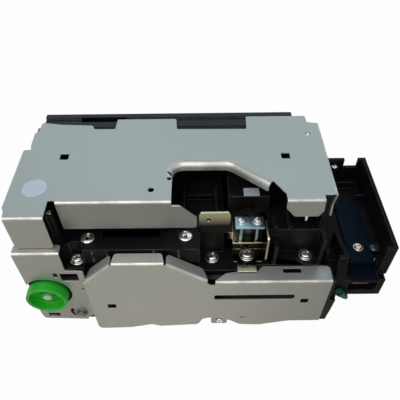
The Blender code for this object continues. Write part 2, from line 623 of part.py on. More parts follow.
def make_drive_guard():
    bottom = [(-72.2, 0.4), (-50.9, 1.2), (-36.3, 5.2), (-31.2, 2.6), (-6.2, 4.5), (-3.2, 11.7),
              (2.5, 13.4), (14.8, 9.5), (20.4, 4.0), (33.4, 3.1), (52.4, 8.1), (72.8, 8.3)]
    right_fold = [(GUARD_RIGHT, 54.2), (4.5, 54.2)]
    relief = [(3.8, 50.8), (1.4, 50.8)]
    slant_right = [(0.1, 55.5), (-23.0, 72.6)]
    middle = [(-24.6, 73.4), (-54.0, 73.4)]
    slant_left = [(-55.4, 72.5), (-71.8, 56.4)]
    outline = bottom + right_fold + relief + slant_right + middle + slant_left + [(GUARD_LEFT, 55.0)]
    first = len(bottom)
    right_length = hypot(slant_right[1][0] - slant_right[0][0], slant_right[1][1] - slant_right[0][1])
    left_length = hypot(slant_left[1][0] - slant_left[0][0], slant_left[1][1] - slant_left[0][1])
    depth = 7.7
    flanges = {
        first: [(0, 9.5), (1.8, 11.3), (40.3, 11.3), (43.8, 7.5), (56, 7.5), (62.4, 6.5)],
        first + 4: [(3.5, depth), (right_length, depth)],
        first + 6: [(1.2, depth), (28.2, depth)],
        first + 8: [(0, depth), (left_length - 3.5, depth)],
    }
    sheet = folded_sheet(lambda u, v, w: (u, GUARD_FACE + w, v), outline, flanges)
    y = (GUARD_FACE - 3, GUARD_FACE + 2.5)
    slot = prism("Y", arc((6.5, 37), 2, 90, 270, 6) + arc((50.3, 37), 2, -90, 90, 6), *y)
    square_right = block((57.1, 62), y, (30.1, 35.1))
    square_left = block((-62.2, -57), y, (25.8, 31))
    slit = block((20.5, 24.9), y, (12.5, 13.8))
    flange_slot = block((44.8, 55.7), (-38.1, -35), (50, 58))
    sub_part("drive_guard", "zinc", cut(sheet, slot, square_right, square_left, slit, flange_slot))


def make_knob():
    centre = (AXLES["rear"], AXLE_HEIGHT)
    front = -48.75
    cup = front + 5.0
    profile = [(-41.3, 2.8), (-41.3, 12.2), (front + 1.0, 12.2), (front, 11.4), (front, 10.6),
               (front + 0.6, 10.1), (cup, 9.7), (cup, 4.2), (cup - 2.0, 3.8), (cup - 2.0, 2.8)]
    sub_part("hand_knob", "green_plastic", turned("Y", centre, profile, 24),
             (centre[0], CARD_MIDDLE, centre[1]), True)


MOUTH_FLOOR = 54.5
STEP_FACE = -30.6
SLOT_Z = (46.6, 51.6)
GATE_X = (88.4, 89.6)
SENSOR_PIVOT = (80.5, 60.5)
LEVER_PIVOT = (80.0, 39.5)


def make_mouth():
    top = 73.5
    corner = 2.2
    upper = prism("Z", [(76, -36.4)] + arc((MOUTH_FACE - corner, corner - 36.4), corner, -90, 0, 4)
                  + [(MOUTH_FACE, 41.2), (70.3, 41.2), (70.3, -30), (76, -30)], 49, top)
    lower = block((76, 106), (-40.8, 41.2), (33.8, 49.6))
    mouth = fused(upper, lower)
    well = block((72.8, MOUTH_FACE - WALL), (-33.9, 38.7), (MOUTH_FLOOR, 80))
    open_front = block((81.5, 101.5), (-50, STEP_FACE), (49.6, 80))
    ledge = block((84.8, 101.2), (-50, STEP_FACE), (47.6, 52))
    low_corner = block((60, 82), (-45, STEP_FACE), (66, 80))
    left_side = block((60, 73.5), (-45, 38.7), (62, 80))
    card_y = (CARD_MIDDLE - CARD_WIDTH / 2 - 0.7, CARD_MIDDLE + CARD_WIDTH / 2 + 0.7)
    slot = block((60, 120), card_y, SLOT_Z)
    flare = prism("Y", [(98, SLOT_Z[0]), (110, SLOT_Z[0] - 3), (110, SLOT_Z[1] + 2.4),
                        (98, SLOT_Z[1])], *card_y)
    gate_slot = block((GATE_X[0] - 0.5, GATE_X[1] + 0.5), card_y, (34.5, 53.6))
    notch = block((94, 103), (36, 45), (66.5, 80))
    under = block((79, 103), (-34.5, 38.2), (20, 43.4))
    recess = block((85, 102), (-45, -36.8), (38.4, 46.4))
    sensor_slot = block((74, 87), (23.4, 26.8), (47, 58))
    mouth = cut(mouth, well, open_front, ledge, low_corner, left_side, slot, flare)
    mouth = cut(mouth, gate_slot, notch, under, recess, sensor_slot)
    post = block((78.5, 82.5), (27.1, 29.4), (MOUTH_FLOOR - 0.5, 63))
    funnel = prism("Z", [(76.6, -16), (79.4, -16), (81.4, -31), (81.4, -34.2), (79.6, -34.2)],
                   MOUTH_FLOOR - 0.5, 66)
    brace = prism("X", [(-36.2, 66), (-40.8, 52), (-40.8, 49), (-36.2, 49)], 76, 81.5)
    back_rib = block((90, 101.3), (30.7, 31.7), (MOUTH_FLOOR - 0.5, 60))
    side_rib = block((99.2, MOUTH_FACE - 1), (18.4, 19.4), (MOUTH_FLOOR - 0.5, 60))
    pin = rod("Y", SENSOR_PIVOT, 0.9, 23.6, 27.5, 12)
    lever_pin = rod("Y", LEVER_PIVOT, 1.4, -44.6, -40, 16)
    mouth = fused(mouth, post, funnel, brace, back_rib, side_rib, pin, lever_pin)
    holes = [screw_hole("Z", (x, y), MOUTH_FLOOR + 1.5, length=4, shank=1.2) for x, y in MOUTH_SCREWS]
    sub_part("mouth_frame", "black_plastic", cut(mouth, *holes))


def make_mouth_pieces():
    level = (MOUTH_FLOOR + GAP, MOUTH_FLOOR + 1.5)
    wide = (85.2, 100.6)
    riser = (STEP_FACE - 1.5, STEP_FACE - GAP)
    low = (47.9, 49.1)
    board = fused(block(wide, (riser[0], 17.8), level), block(wide, riser, (low[0], level[1])),
                  block(wide, (-40.6, riser[1]), low))
    seat = rod("Z", MOUTH_SCREWS[0], 1.6, 50, 60, 12)
    sub_part("mouth_board", "board", cut(board, seat))
    for index, point in enumerate(MOUTH_SCREWS):
        screw = pan_screw("Z", point, MOUTH_FLOOR + 1.5, 3.0, 1.2, 4.0)
        sub_part(f"mouth_screw_{index + 1}", "copper", screw, smooth=True)
    card_y = (CARD_MIDDLE - CARD_WIDTH / 2, CARD_MIDDLE + CARD_WIDTH / 2)
    gate = block(GATE_X, card_y, (36.0, SLOT_Z[0] - GAP))
    sub_part("shutter_gate", "steel", gate, (GATE_X[0], CARD_MIDDLE, 36.0))
    x, z = SENSOR_PIVOT
    arm = prism("Y", [(x - 1.2, z), (x - 0.7, 48.5), (x + 0.7, 48.5), (x + 1.2, z)], 23.9, 26.3)
    sensor = fused(arm, rod("Y", SENSOR_PIVOT, 2.2, 23.9, 26.3, 16))
    sensor = cut(sensor, rod("Y", SENSOR_PIVOT, 1.25, 20, 30, 16))
    sub_part("card_sensor_lever", "grey_plastic", sensor, (x, 25, z))
    x, z = LEVER_PIVOT
    lever = prism("Y", [(x - 2.4, z + 1), (x + 0.5, z + 2.4), (x + 6.0, z - 4.0), (x + 5.8, z - 6.6),
                        (x + 3.4, z - 5.8), (x - 1.6, z - 2.2)], -44.0, -41.4)
    lever = cut(lever, rod("Y", LEVER_PIVOT, 1.75, -46, -40, 16))
    sub_part("release_lever", "green_plastic", lever, (x, -42.7, z))


SOLENOID = (24.0, -17.6)
PLUNGER_RADIUS = 2.0


def make_solenoid():
    low = 70.8
    plate = block((14.3, 34.2), (-29.2, -10.5), (low, low + 1.2))
    foot_low = YOKE_BOSS_TOP + GAP
    leg = block((15.2, 33.0), (-22.2, -21.0), (foot_low, low + 0.6))
    foot = block((15.2, 33.0), (-31.6, -21.6), (foot_low, foot_low + 1.2))
    tongue_side = [(-31.2, foot_low + 0.1), (-31.2, foot_low + 1.2), (-34.8, foot_low + 1.2),
                   (-38.2, foot_low + 0.5), (-38.2, foot_low - 0.2), (-34.8, foot_low + 0.1)]
    tongue = prism("X", tongue_side, 17.6, 29.0)
    ear = prism("X", [(-12.5, low), (-35.8, low), (-35.8, 82.4), (-33.8, 83.6), (-12.5, 83.6)], 33.0, 34.2)
    tab = prism("Y", [(-4.8, 76), (12.9, 76), (12.9, 92.0), (10.9, 94), (-2.8, 94), (-4.8, 92)],
                -25.4, -24.2)
    web = block((11.7, 12.9), (-25.0, -12), (76, 86))
    bridge = block((11.7, 15), (-25.4, -12), (low, 76.5))
    yoke = fused(plate, leg, foot, tongue, ear, tab, web, bridge)
    yoke = cut(yoke, rod("Z", SOLENOID, PLUNGER_RADIUS + 0.6, 60, 75),
               rod("Z", YOKE_SCREW, 2.0, 50, 60, 12), rod("Y", (0.6, 88.0), 1.2, -30, -20, 12))
    sub_part("solenoid_yoke", "yellow_zinc", yoke)
    bore = PLUNGER_RADIUS + 0.5
    coil = turned("Z", SOLENOID, [(72.3, bore), (72.3, 6.4), (73.5, 6.4), (73.5, 5.8), (81.2, 5.8),
                                  (81.2, 6.4), (82.4, 6.4), (82.4, bore)])
    sub_part("solenoid_coil", "black_plastic", coil, smooth=True)
    posts = [rod("Z", (x, -26.4), 1.3, 72.3, 83.3, 12) for x, _ in TOP_PLATE_SCREWS]
    top = block((15.8, 32.2), (-28.0, -19.5), (82.7, 83.9))
    holes = [rod("Z", point, 1.5, 80, 86, 12) for point in TOP_PLATE_SCREWS]
    sub_part("solenoid_top_plate", "steel", cut(fused(top, *posts), *holes))
    for index, point in enumerate(TOP_PLATE_SCREWS):
        screw = pan_screw("Z", point, 83.9, 2.8, 1.2, 1.4)
        sub_part(f"solenoid_screw_{index + 1}", "steel", screw, smooth=True)
    foot_top = foot_low + 1.2
    washer = rod("Z", YOKE_SCREW, 4.6, foot_top + GAP, foot_top + GAP + 0.8)
    screw = fused(pan_screw("Z", YOKE_SCREW, foot_top + 0.7, 4.0, 1.5, 4.0), washer)
    sub_part("yoke_screw", "steel", screw, smooth=True)


def make_contact_unit():
    x, y = SOLENOID
    plunger = rod("Z", SOLENOID, PLUNGER_RADIUS, 57.2, 79, 16)
    sub_part("contact_plunger", "steel", plunger, (x, y, 57.2), True)
    body = block(CONTACT_X, CONTACT_Y, (53.5, 58))
    arm = block((21, 27), (-20.3, CONTACT_Y[0] + 1), (54.2, 56.9))
    sub_part("contact_carriage", "grey_plastic", fused(body, arm), (x, 3, 53.5))
    card = block((x - 6, x + 6), (-3.4, 9.4), (52.9, 53.2))
    pins = []
    for row in range(4):
        for column in (-1, 1):
            pin_x = x + column * 3.8
            pin_y = 3.0 + (row - 1.5) * 2.54
            pins.append(block((pin_x - 1.1, pin_x + 1.1), (pin_y - 0.6, pin_y + 0.6), (51.9, 53.1)))
    sub_part("chip_contacts", "brass", fused(card, *pins), (x, 3, 53.2))
    housing = block((12.5, 36.5), (-9.5, 29.5), (75.8, 90))
    lower = block((14.5, 34.5), (-7.5, 27.5), (70, 88))
    sub_part("contact_housing", "black_plastic", cut(housing, lower))


def make_magnetic_head():
    x = (HEAD_X[0] + HEAD_X[1]) / 2
    y = (HEAD_Y[0] + HEAD_Y[1]) / 2
    holder = block((HEAD_X[0] + 1, HEAD_X[1] - 1), (HEAD_Y[0] + 1, HEAD_Y[1] - 1), (38, 46))
    nose = prism("Y", arc((x, 43.3), 5.0, 0, 180, 8), HEAD_Y[0] + 3, HEAD_Y[1] - 3)
    sub_part("magnetic_head", "steel", fused(holder, nose), (x, y, 43))
    bracket = block((HEAD_X[0], HEAD_X[1]), (FRAME_FRONT + WALL + GAP, HEAD_Y[1]), (33.5, 36))
    sub_part("head_bracket", "zinc", bracket)


def make_screws():
    for index, (x, y, seat) in enumerate(LEDGE_SCREWS):
        screw = pan_screw("Z", (x, y), seat, length=screw_length(seat))
        sub_part(f"ledge_screw_{index + 1}", "steel", screw, smooth=True)
    screw = pan_screw("Y", PLATE_SCREW, PLATE_FACE, 3.4, outward=-1)
    sub_part("plate_screw", "steel", screw, smooth=True)


def build():
    clear_scene()
    make_base_plate()
    make_lower_frame()
    make_axles()
    make_drive()
    make_guides()
    make_pinch_rollers()
    make_upper_frame()
    make_rear_cover()
    make_board()
    make_top_cover()
    make_knob_plate()
    make_drive_guard()
    make_knob()
    make_mouth()
    make_mouth_pieces()
    make_solenoid()
    make_contact_unit()
    make_magnetic_head()
    make_screws()


build()
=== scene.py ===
# %% [markdown]
# This lesson dresses a motorised card reader, the unit behind the card slot of a cash machine.
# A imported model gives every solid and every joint, and it is loaded here as a fixed frame.
# Each cell then makes one finish or one group of pieces, in the same place as its solid.
# The frame is in metres; sizes in this file are written in millimetres and scaled by MM.

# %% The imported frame
import json
from math import cos, hypot, pi, radians, sin

import bmesh
import bpy
from mathutils import Matrix, Vector

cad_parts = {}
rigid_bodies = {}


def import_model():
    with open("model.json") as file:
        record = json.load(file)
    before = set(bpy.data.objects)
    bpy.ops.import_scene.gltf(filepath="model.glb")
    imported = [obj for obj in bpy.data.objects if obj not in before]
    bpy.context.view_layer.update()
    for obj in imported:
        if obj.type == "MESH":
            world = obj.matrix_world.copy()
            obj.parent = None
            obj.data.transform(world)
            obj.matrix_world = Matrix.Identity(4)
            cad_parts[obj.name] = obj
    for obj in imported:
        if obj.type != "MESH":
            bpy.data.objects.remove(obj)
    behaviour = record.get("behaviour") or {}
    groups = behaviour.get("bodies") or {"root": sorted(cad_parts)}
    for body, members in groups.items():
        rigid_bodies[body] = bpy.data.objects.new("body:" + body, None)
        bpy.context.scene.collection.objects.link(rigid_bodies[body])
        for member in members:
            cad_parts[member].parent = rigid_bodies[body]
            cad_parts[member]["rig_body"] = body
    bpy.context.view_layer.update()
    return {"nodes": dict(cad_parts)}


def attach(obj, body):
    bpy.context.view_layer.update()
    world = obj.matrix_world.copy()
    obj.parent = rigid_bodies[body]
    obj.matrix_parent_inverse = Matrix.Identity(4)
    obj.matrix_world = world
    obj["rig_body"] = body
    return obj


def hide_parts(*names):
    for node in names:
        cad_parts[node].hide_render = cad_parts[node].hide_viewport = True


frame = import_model()
MM = 0.001
nodes = frame["nodes"]

# %% [markdown]
# The camera comes first, because the photograph fixes it: about forty-seven degrees above the
# drive side, close enough for strong perspective. Its axes are built from pitch, yaw and roll,
# which is easier to reason about than a guessed rotation.

# %% The photograph's camera
scene = bpy.context.scene
scene.view_settings.view_transform = "Standard"


def aim(pitch, yaw, roll, place):
    """A camera matrix from angles in degrees and a place in millimetres."""
    pitch, yaw, roll = radians(pitch), radians(yaw), radians(roll)
    forward = Vector((sin(yaw) * cos(pitch), cos(yaw) * cos(pitch), -sin(pitch)))
    level = Vector((cos(yaw), -sin(yaw), 0))
    down = forward.cross(level)
    right = cos(roll) * level + sin(roll) * down
    up = sin(roll) * level - cos(roll) * down
    turn = Matrix((right, up, -forward)).transposed().to_4x4()
    return Matrix.Translation(Vector(place) * MM) @ turn


lens = bpy.data.cameras.new("photo_lens")
lens.lens = 41.31
lens.sensor_width = 36
lens.clip_start = 0.005
camera = bpy.data.objects.new("photo_camera", lens)
camera.matrix_world = aim(47.19, -0.16, 0.742, (-3.54, -190.69, 283.05))
scene.collection.objects.link(camera)
scene.camera = camera
print("camera at", [round(value, 3) for value in camera.location])

# %% [markdown]
# Every material is a small network of nodes, so one helper adds a node, sets its options and
# fills or links its inputs. Colours are written as the screen shows them and are turned into
# linear light here.

# %% Node helpers
def put(tree, kind, inputs=None, **options):
    """Add a node, set its options, then set or link its inputs."""
    made = tree.nodes.new(kind)
    for name, value in options.items():
        setattr(made, name, value)
    for key, value in (inputs or {}).items():
        socket = made.inputs[key]
        if isinstance(value, bpy.types.NodeSocket):
            tree.links.new(value, socket)
        else:
            socket.default_value = value
    return made


def screen(red, green, blue):
    """A screen colour from 0 to 255 as linear light."""
    linear = []
    for value in (red, green, blue):
        share = value / 255
        linear.append(share / 12.92 if share <= 0.04045 else ((share + 0.055) / 1.055) ** 2.4)
    return (*linear, 1.0)


def blended(tree, share, first, second):
    """A colour between two colours."""
    mix = put(tree, "ShaderNodeMix", {0: share, 6: first, 7: second}, data_type="RGBA")
    return mix.outputs[2]


def arithmetic(tree, operation, first, second=0.0):
    return put(tree, "ShaderNodeMath", {0: first, 1: second}, operation=operation).outputs[0]


print("zinc grey as linear light:", [round(value, 3) for value in screen(167, 165, 160)])

# %% [markdown]
# The reader lies on a white sheet. A camera ray sees the sheet and the sky as plain white. A
# mirror ray finds a studio that is warm in front and cool behind, which is what gives folded
# metal its two tones, and a bright window above the viewer, which draws a line of light along each
# bend. All other rays find a sky that is brighter overhead, and the lamps add the direction.

# %% Studio
WARM_FRONT = (1.0, 0.97, 0.91, 1)
COOL_BACK = (0.46, 0.64, 0.70, 1)
WARM_PAPER = (0.76, 0.71, 0.60, 1)
WINDOW_WAY = (-0.15, -0.68, 0.72)


def ray_kinds(tree):
    """Whether a ray looks straight at the backdrop, and whether it comes from a mirror."""
    path = put(tree, "ShaderNodeLightPath")
    looks = arithmetic(tree, "MAXIMUM", path.outputs["Is Camera Ray"], path.outputs["Is Transmission Ray"])
    return looks, path.outputs["Is Glossy Ray"]


def make_sky():
    world = bpy.data.worlds.new("white_studio")
    scene.world = world
    world.use_nodes = True
    tree = world.node_tree
    tree.nodes.clear()
    looks, mirrored = ray_kinds(tree)
    direction = put(tree, "ShaderNodeTexCoord").outputs["Generated"]
    way = put(tree, "ShaderNodeSeparateXYZ", {0: direction})
    facing = put(tree, "ShaderNodeVectorMath", {0: direction, 1: WINDOW_WAY}, operation="DOT_PRODUCT")
    window = put(tree, "ShaderNodeMapRange", {"Value": facing.outputs["Value"], "From Min": 0.80,
                                              "From Max": 0.96, "To Min": 1.0, "To Max": 3.4})
    behind = put(tree, "ShaderNodeMapRange", {"Value": way.outputs["Y"], "From Min": -0.35,
                                              "From Max": 0.55})
    mirror_sky = blended(tree, behind.outputs[0], WARM_FRONT, COOL_BACK)
    overhead = put(tree, "ShaderNodeMapRange", {"Value": way.outputs["Z"], "To Min": 0.06, "To Max": 0.70})
    fill = put(tree, "ShaderNodeBackground", {"Color": (0.84, 0.95, 1.0, 1),
                                              "Strength": overhead.outputs[0]})
    mirror = put(tree, "ShaderNodeBackground", {"Color": mirror_sky, "Strength": window.outputs[0]})
    white = put(tree, "ShaderNodeBackground", {"Color": (1, 1, 1, 1), "Strength": 1.0})
    lit = put(tree, "ShaderNodeMixShader", {0: mirrored, 1: fill.outputs[0], 2: mirror.outputs[0]})
    shown = put(tree, "ShaderNodeMixShader", {0: looks, 1: lit.outputs[0], 2: white.outputs[0]})
    put(tree, "ShaderNodeOutputWorld", {"Surface": shown.outputs[0]})


def make_floor():
    bm = bmesh.new()
    bmesh.ops.create_grid(bm, x_segments=8, y_segments=8, size=3.0)
    mesh = bpy.data.meshes.new("white_sheet")
    bm.to_mesh(mesh)
    bm.free()
    floor = bpy.data.objects.new("white_sheet", mesh)
    floor.location.z = -0.2 * MM
    scene.collection.objects.link(floor)
    material = bpy.data.materials.new("white_sheet")
    material.use_nodes = True
    tree = material.node_tree
    tree.nodes.clear()
    looks, mirrored = ray_kinds(tree)
    paper = put(tree, "ShaderNodeBsdfDiffuse", {"Color": (0.88, 0.84, 0.76, 1)})
    shade = blended(tree, mirrored, (1, 1, 1, 1), WARM_PAPER)
    glow = put(tree, "ShaderNodeEmission", {"Color": shade, "Strength": 1.0})
    share = arithmetic(tree, "ADD", arithmetic(tree, "MULTIPLY", looks, 0.97),
                       arithmetic(tree, "MULTIPLY", mirrored, 0.55))
    mix = put(tree, "ShaderNodeMixShader", {0: share, 1: paper.outputs[0], 2: glow.outputs[0]})
    put(tree, "ShaderNodeOutputMaterial", {"Surface": mix.outputs[0]})
    mesh.materials.append(material)


def add_lamp(name, place, target, size, power, colour):
    data = bpy.data.lights.new(name, "AREA")
    data.shape = "RECTANGLE"
    data.size, data.size_y = size
    data.energy = power
    data.color = colour
    lamp = bpy.data.objects.new(name, data)
    lamp.location = place
    lamp.rotation_euler = (Vector(target) - Vector(place)).to_track_quat("-Z", "Y").to_euler()
    scene.collection.objects.link(lamp)


make_sky()
make_floor()
add_lamp("key_window", (-0.5, -0.5, 1.15), (0, 0, 0.05), (0.7, 0.5), 3.6, (1.0, 0.99, 0.97))
add_lamp("back_sky", (0.1, 1.0, 1.15), (0, 0, 0.1), (1.8, 0.9), 4.0, (0.72, 0.93, 1.0))
add_lamp("front_fill", (0.5, -1.1, 0.35), (0, 0, 0.05), (0.9, 0.5), 0.3, (1.0, 0.93, 0.84))

# %% [markdown]
# Real surfaces are never even. Six small shader groups give what the finishes share: soft
# clouds, the fine lines that rolling leaves in sheet metal, the grain of a textured mould, the
# rub along edges, which is part wear and part painted highlight, settled dust, and painted shade.
# The rub reads a number called edge that each piece carries, and the painted shade reads a number
# that screws, yoke and sheets carry, high in recesses and where they lie in shadow or reflect dark parts.

# %% Shader groups
def new_group(name, inputs, outputs):
    tree = bpy.data.node_groups.new(name, "ShaderNodeTree")
    for label, value in inputs.items():
        socket = tree.interface.new_socket(name=label, in_out="INPUT", socket_type="NodeSocketFloat")
        socket.default_value = value
    for label in outputs:
        tree.interface.new_socket(name=label, in_out="OUTPUT", socket_type="NodeSocketFloat")
    return tree, put(tree, "NodeGroupInput"), put(tree, "NodeGroupOutput")


def object_noise(tree, scale, detail=3.0, stretch=None, roughness=0.55):
    """Noise on the object's own coordinates, stretched if wanted."""
    place = put(tree, "ShaderNodeTexCoord").outputs["Object"]
    if stretch is not None:
        place = put(tree, "ShaderNodeMapping", {"Vector": place, "Scale": stretch}).outputs[0]
    return put(tree, "ShaderNodeTexNoise", {"Vector": place, "Scale": scale, "Detail": detail,
                                            "Roughness": roughness}).outputs["Fac"]


def make_clouds():
    tree, given, result = new_group("clouds", {"Scale": 40.0, "Low": 0.0, "High": 1.0}, ["Value"])
    noise = object_noise(tree, given.outputs["Scale"], 4.0)
    ranged = put(tree, "ShaderNodeMapRange", {"Value": noise, "From Min": 0.32, "From Max": 0.68,
                                              "To Min": given.outputs["Low"],
                                              "To Max": given.outputs["High"]})
    tree.links.new(ranged.outputs[0], result.inputs["Value"])
    return tree


def make_rolled_lines():
    tree, given, result = new_group("rolled_lines", {"Fineness": 1500.0, "Length": 30.0}, ["Height"])
    scale = put(tree, "ShaderNodeCombineXYZ", {0: given.outputs["Length"], 1: given.outputs["Fineness"],
                                               2: given.outputs["Fineness"]}).outputs[0]
    lines = object_noise(tree, 1.0, 2.0, scale)
    pits = object_noise(tree, 900.0, 1.0)
    shares = [arithmetic(tree, "MULTIPLY", lines, 0.75), arithmetic(tree, "MULTIPLY", pits, 0.25)]
    height = arithmetic(tree, "ADD", *shares)
    tree.links.new(height, result.inputs["Height"])
    return tree


def make_mould_texture():
    tree, given, result = new_group("mould_texture", {"Scale": 2200.0}, ["Height"])
    place = put(tree, "ShaderNodeTexCoord").outputs["Object"]
    cells = put(tree, "ShaderNodeTexVoronoi", {"Vector": place, "Scale": given.outputs["Scale"]})
    soft = object_noise(tree, given.outputs["Scale"], 2.0)
    height = arithmetic(tree, "ADD", arithmetic(tree, "MULTIPLY", cells.outputs["Distance"], 0.5), soft)
    tree.links.new(height, result.inputs["Height"])
    return tree


def make_edge_wear_and_highlight():
    tree, given, result = new_group("edge_wear_and_highlight", {"Amount": 0.5, "Scale": 350.0}, ["Mask"])
    edge = put(tree, "ShaderNodeAttribute", attribute_name="edge").outputs["Fac"]
    noise = object_noise(tree, given.outputs["Scale"], 4.0)
    broken = put(tree, "ShaderNodeMapRange", {"Value": noise, "From Min": 0.35, "From Max": 0.62})
    worn = arithmetic(tree, "MULTIPLY", edge, broken.outputs[0])
    mask = arithmetic(tree, "MULTIPLY", worn, given.outputs["Amount"])
    tree.links.new(mask, result.inputs["Mask"])
    return tree


def make_dust():
    tree, given, result = new_group("settled_dust", {"Amount": 0.1, "Scale": 120.0}, ["Mask"])
    facing = put(tree, "ShaderNodeSeparateXYZ", {0: put(tree, "ShaderNodeNewGeometry").outputs["Normal"]})
    up = arithmetic(tree, "MAXIMUM", facing.outputs["Z"], 0.0)
    noise = put(tree, "ShaderNodeMapRange", {"Value": object_noise(tree, given.outputs["Scale"], 5.0),
                                             "From Min": 0.4, "From Max": 0.75})
    settled = arithmetic(tree, "MULTIPLY", up, noise.outputs[0])
    mask = arithmetic(tree, "MULTIPLY", settled, given.outputs["Amount"])
    tree.links.new(mask, result.inputs["Mask"])
    return tree


def make_painted_shade():
    tree, given, result = new_group("painted_shade_group", {"Amount": 0.9}, ["Mask"])
    painted_shade = put(tree, "ShaderNodeAttribute", attribute_name="painted_shade").outputs["Fac"]
    tree.links.new(arithmetic(tree, "MULTIPLY", painted_shade, given.outputs["Amount"]), result.inputs["Mask"])
    return tree


GROUPS = {tree.name: tree for tree in (make_clouds(), make_rolled_lines(), make_mould_texture(),
                                       make_edge_wear_and_highlight(), make_dust(), make_painted_shade())}
print("shader groups:", sorted(GROUPS))

# %% [markdown]
# One function wires a finish in the order a maker would think of it: two tones that drift into
# each other, painted shade, rubbed edges with painted highlight, a little dust, a roughness that
# varies and a fine relief. Values that are the same all over stay on the shader itself.

# %% Finish builder
def effect(tree, name, **inputs):
    made = put(tree, "ShaderNodeGroup", node_tree=GROUPS[name])
    for label, value in inputs.items():
        made.inputs[label].default_value = value
    return made.outputs[0]


def finish(name, tones, rough, metal=0.0, cloud=35.0, wear_and_highlight=(0.4, None), dust=0.0, relief=None,
           specular=0.5, coat=0.0, painted_shade_amount=0.0):
    """A material from two tones, a roughness range, a relief, painted shade and an edge rub of wear and
    painted highlight (amount, tone, patches).
    """
    material = bpy.data.materials.new(name)
    material.use_nodes = True
    tree = material.node_tree
    shader = tree.nodes["Principled BSDF"]
    shader.inputs["Metallic"].default_value = metal
    shader.inputs["Specular IOR Level"].default_value = specular
    shader.inputs["Coat Weight"].default_value = coat
    colour = blended(tree, effect(tree, "clouds", Scale=cloud), tones[0], tones[1])
    # Painted shade: the colour goes towards near black where the piece's shade number is high.
    if painted_shade_amount:
        colour = blended(tree, effect(tree, "painted_shade_group", Amount=painted_shade_amount), colour, (0.012, 0.011, 0.011, 1))
    # The edge rub is partly wear and partly painted highlight: a lighter tone along edges and folds.
    wear_and_highlight_tone = wear_and_highlight[1] or tuple(min(1.0, 1.6 * value + 0.03) for value in tones[1][:3]) + (1.0,)
    patches = wear_and_highlight[2] if len(wear_and_highlight) > 2 else 350.0
    colour = blended(tree, effect(tree, "edge_wear_and_highlight", Amount=wear_and_highlight[0], Scale=patches), colour, wear_and_highlight_tone)
    if dust:
        colour = blended(tree, effect(tree, "settled_dust", Amount=dust), colour, (0.30, 0.28, 0.25, 1))
    tree.links.new(colour, shader.inputs["Base Color"])
    tree.links.new(effect(tree, "clouds", Scale=cloud * 3.1, Low=rough[0], High=rough[1]),
                   shader.inputs["Roughness"])
    if relief:
        kind, inputs, depth = relief
        bump = put(tree, "ShaderNodeBump", {"Height": effect(tree, kind, **inputs), "Strength": 0.6,
                                            "Distance": depth * MM})
        tree.links.new(bump.outputs[0], shader.inputs["Normal"])
    return material


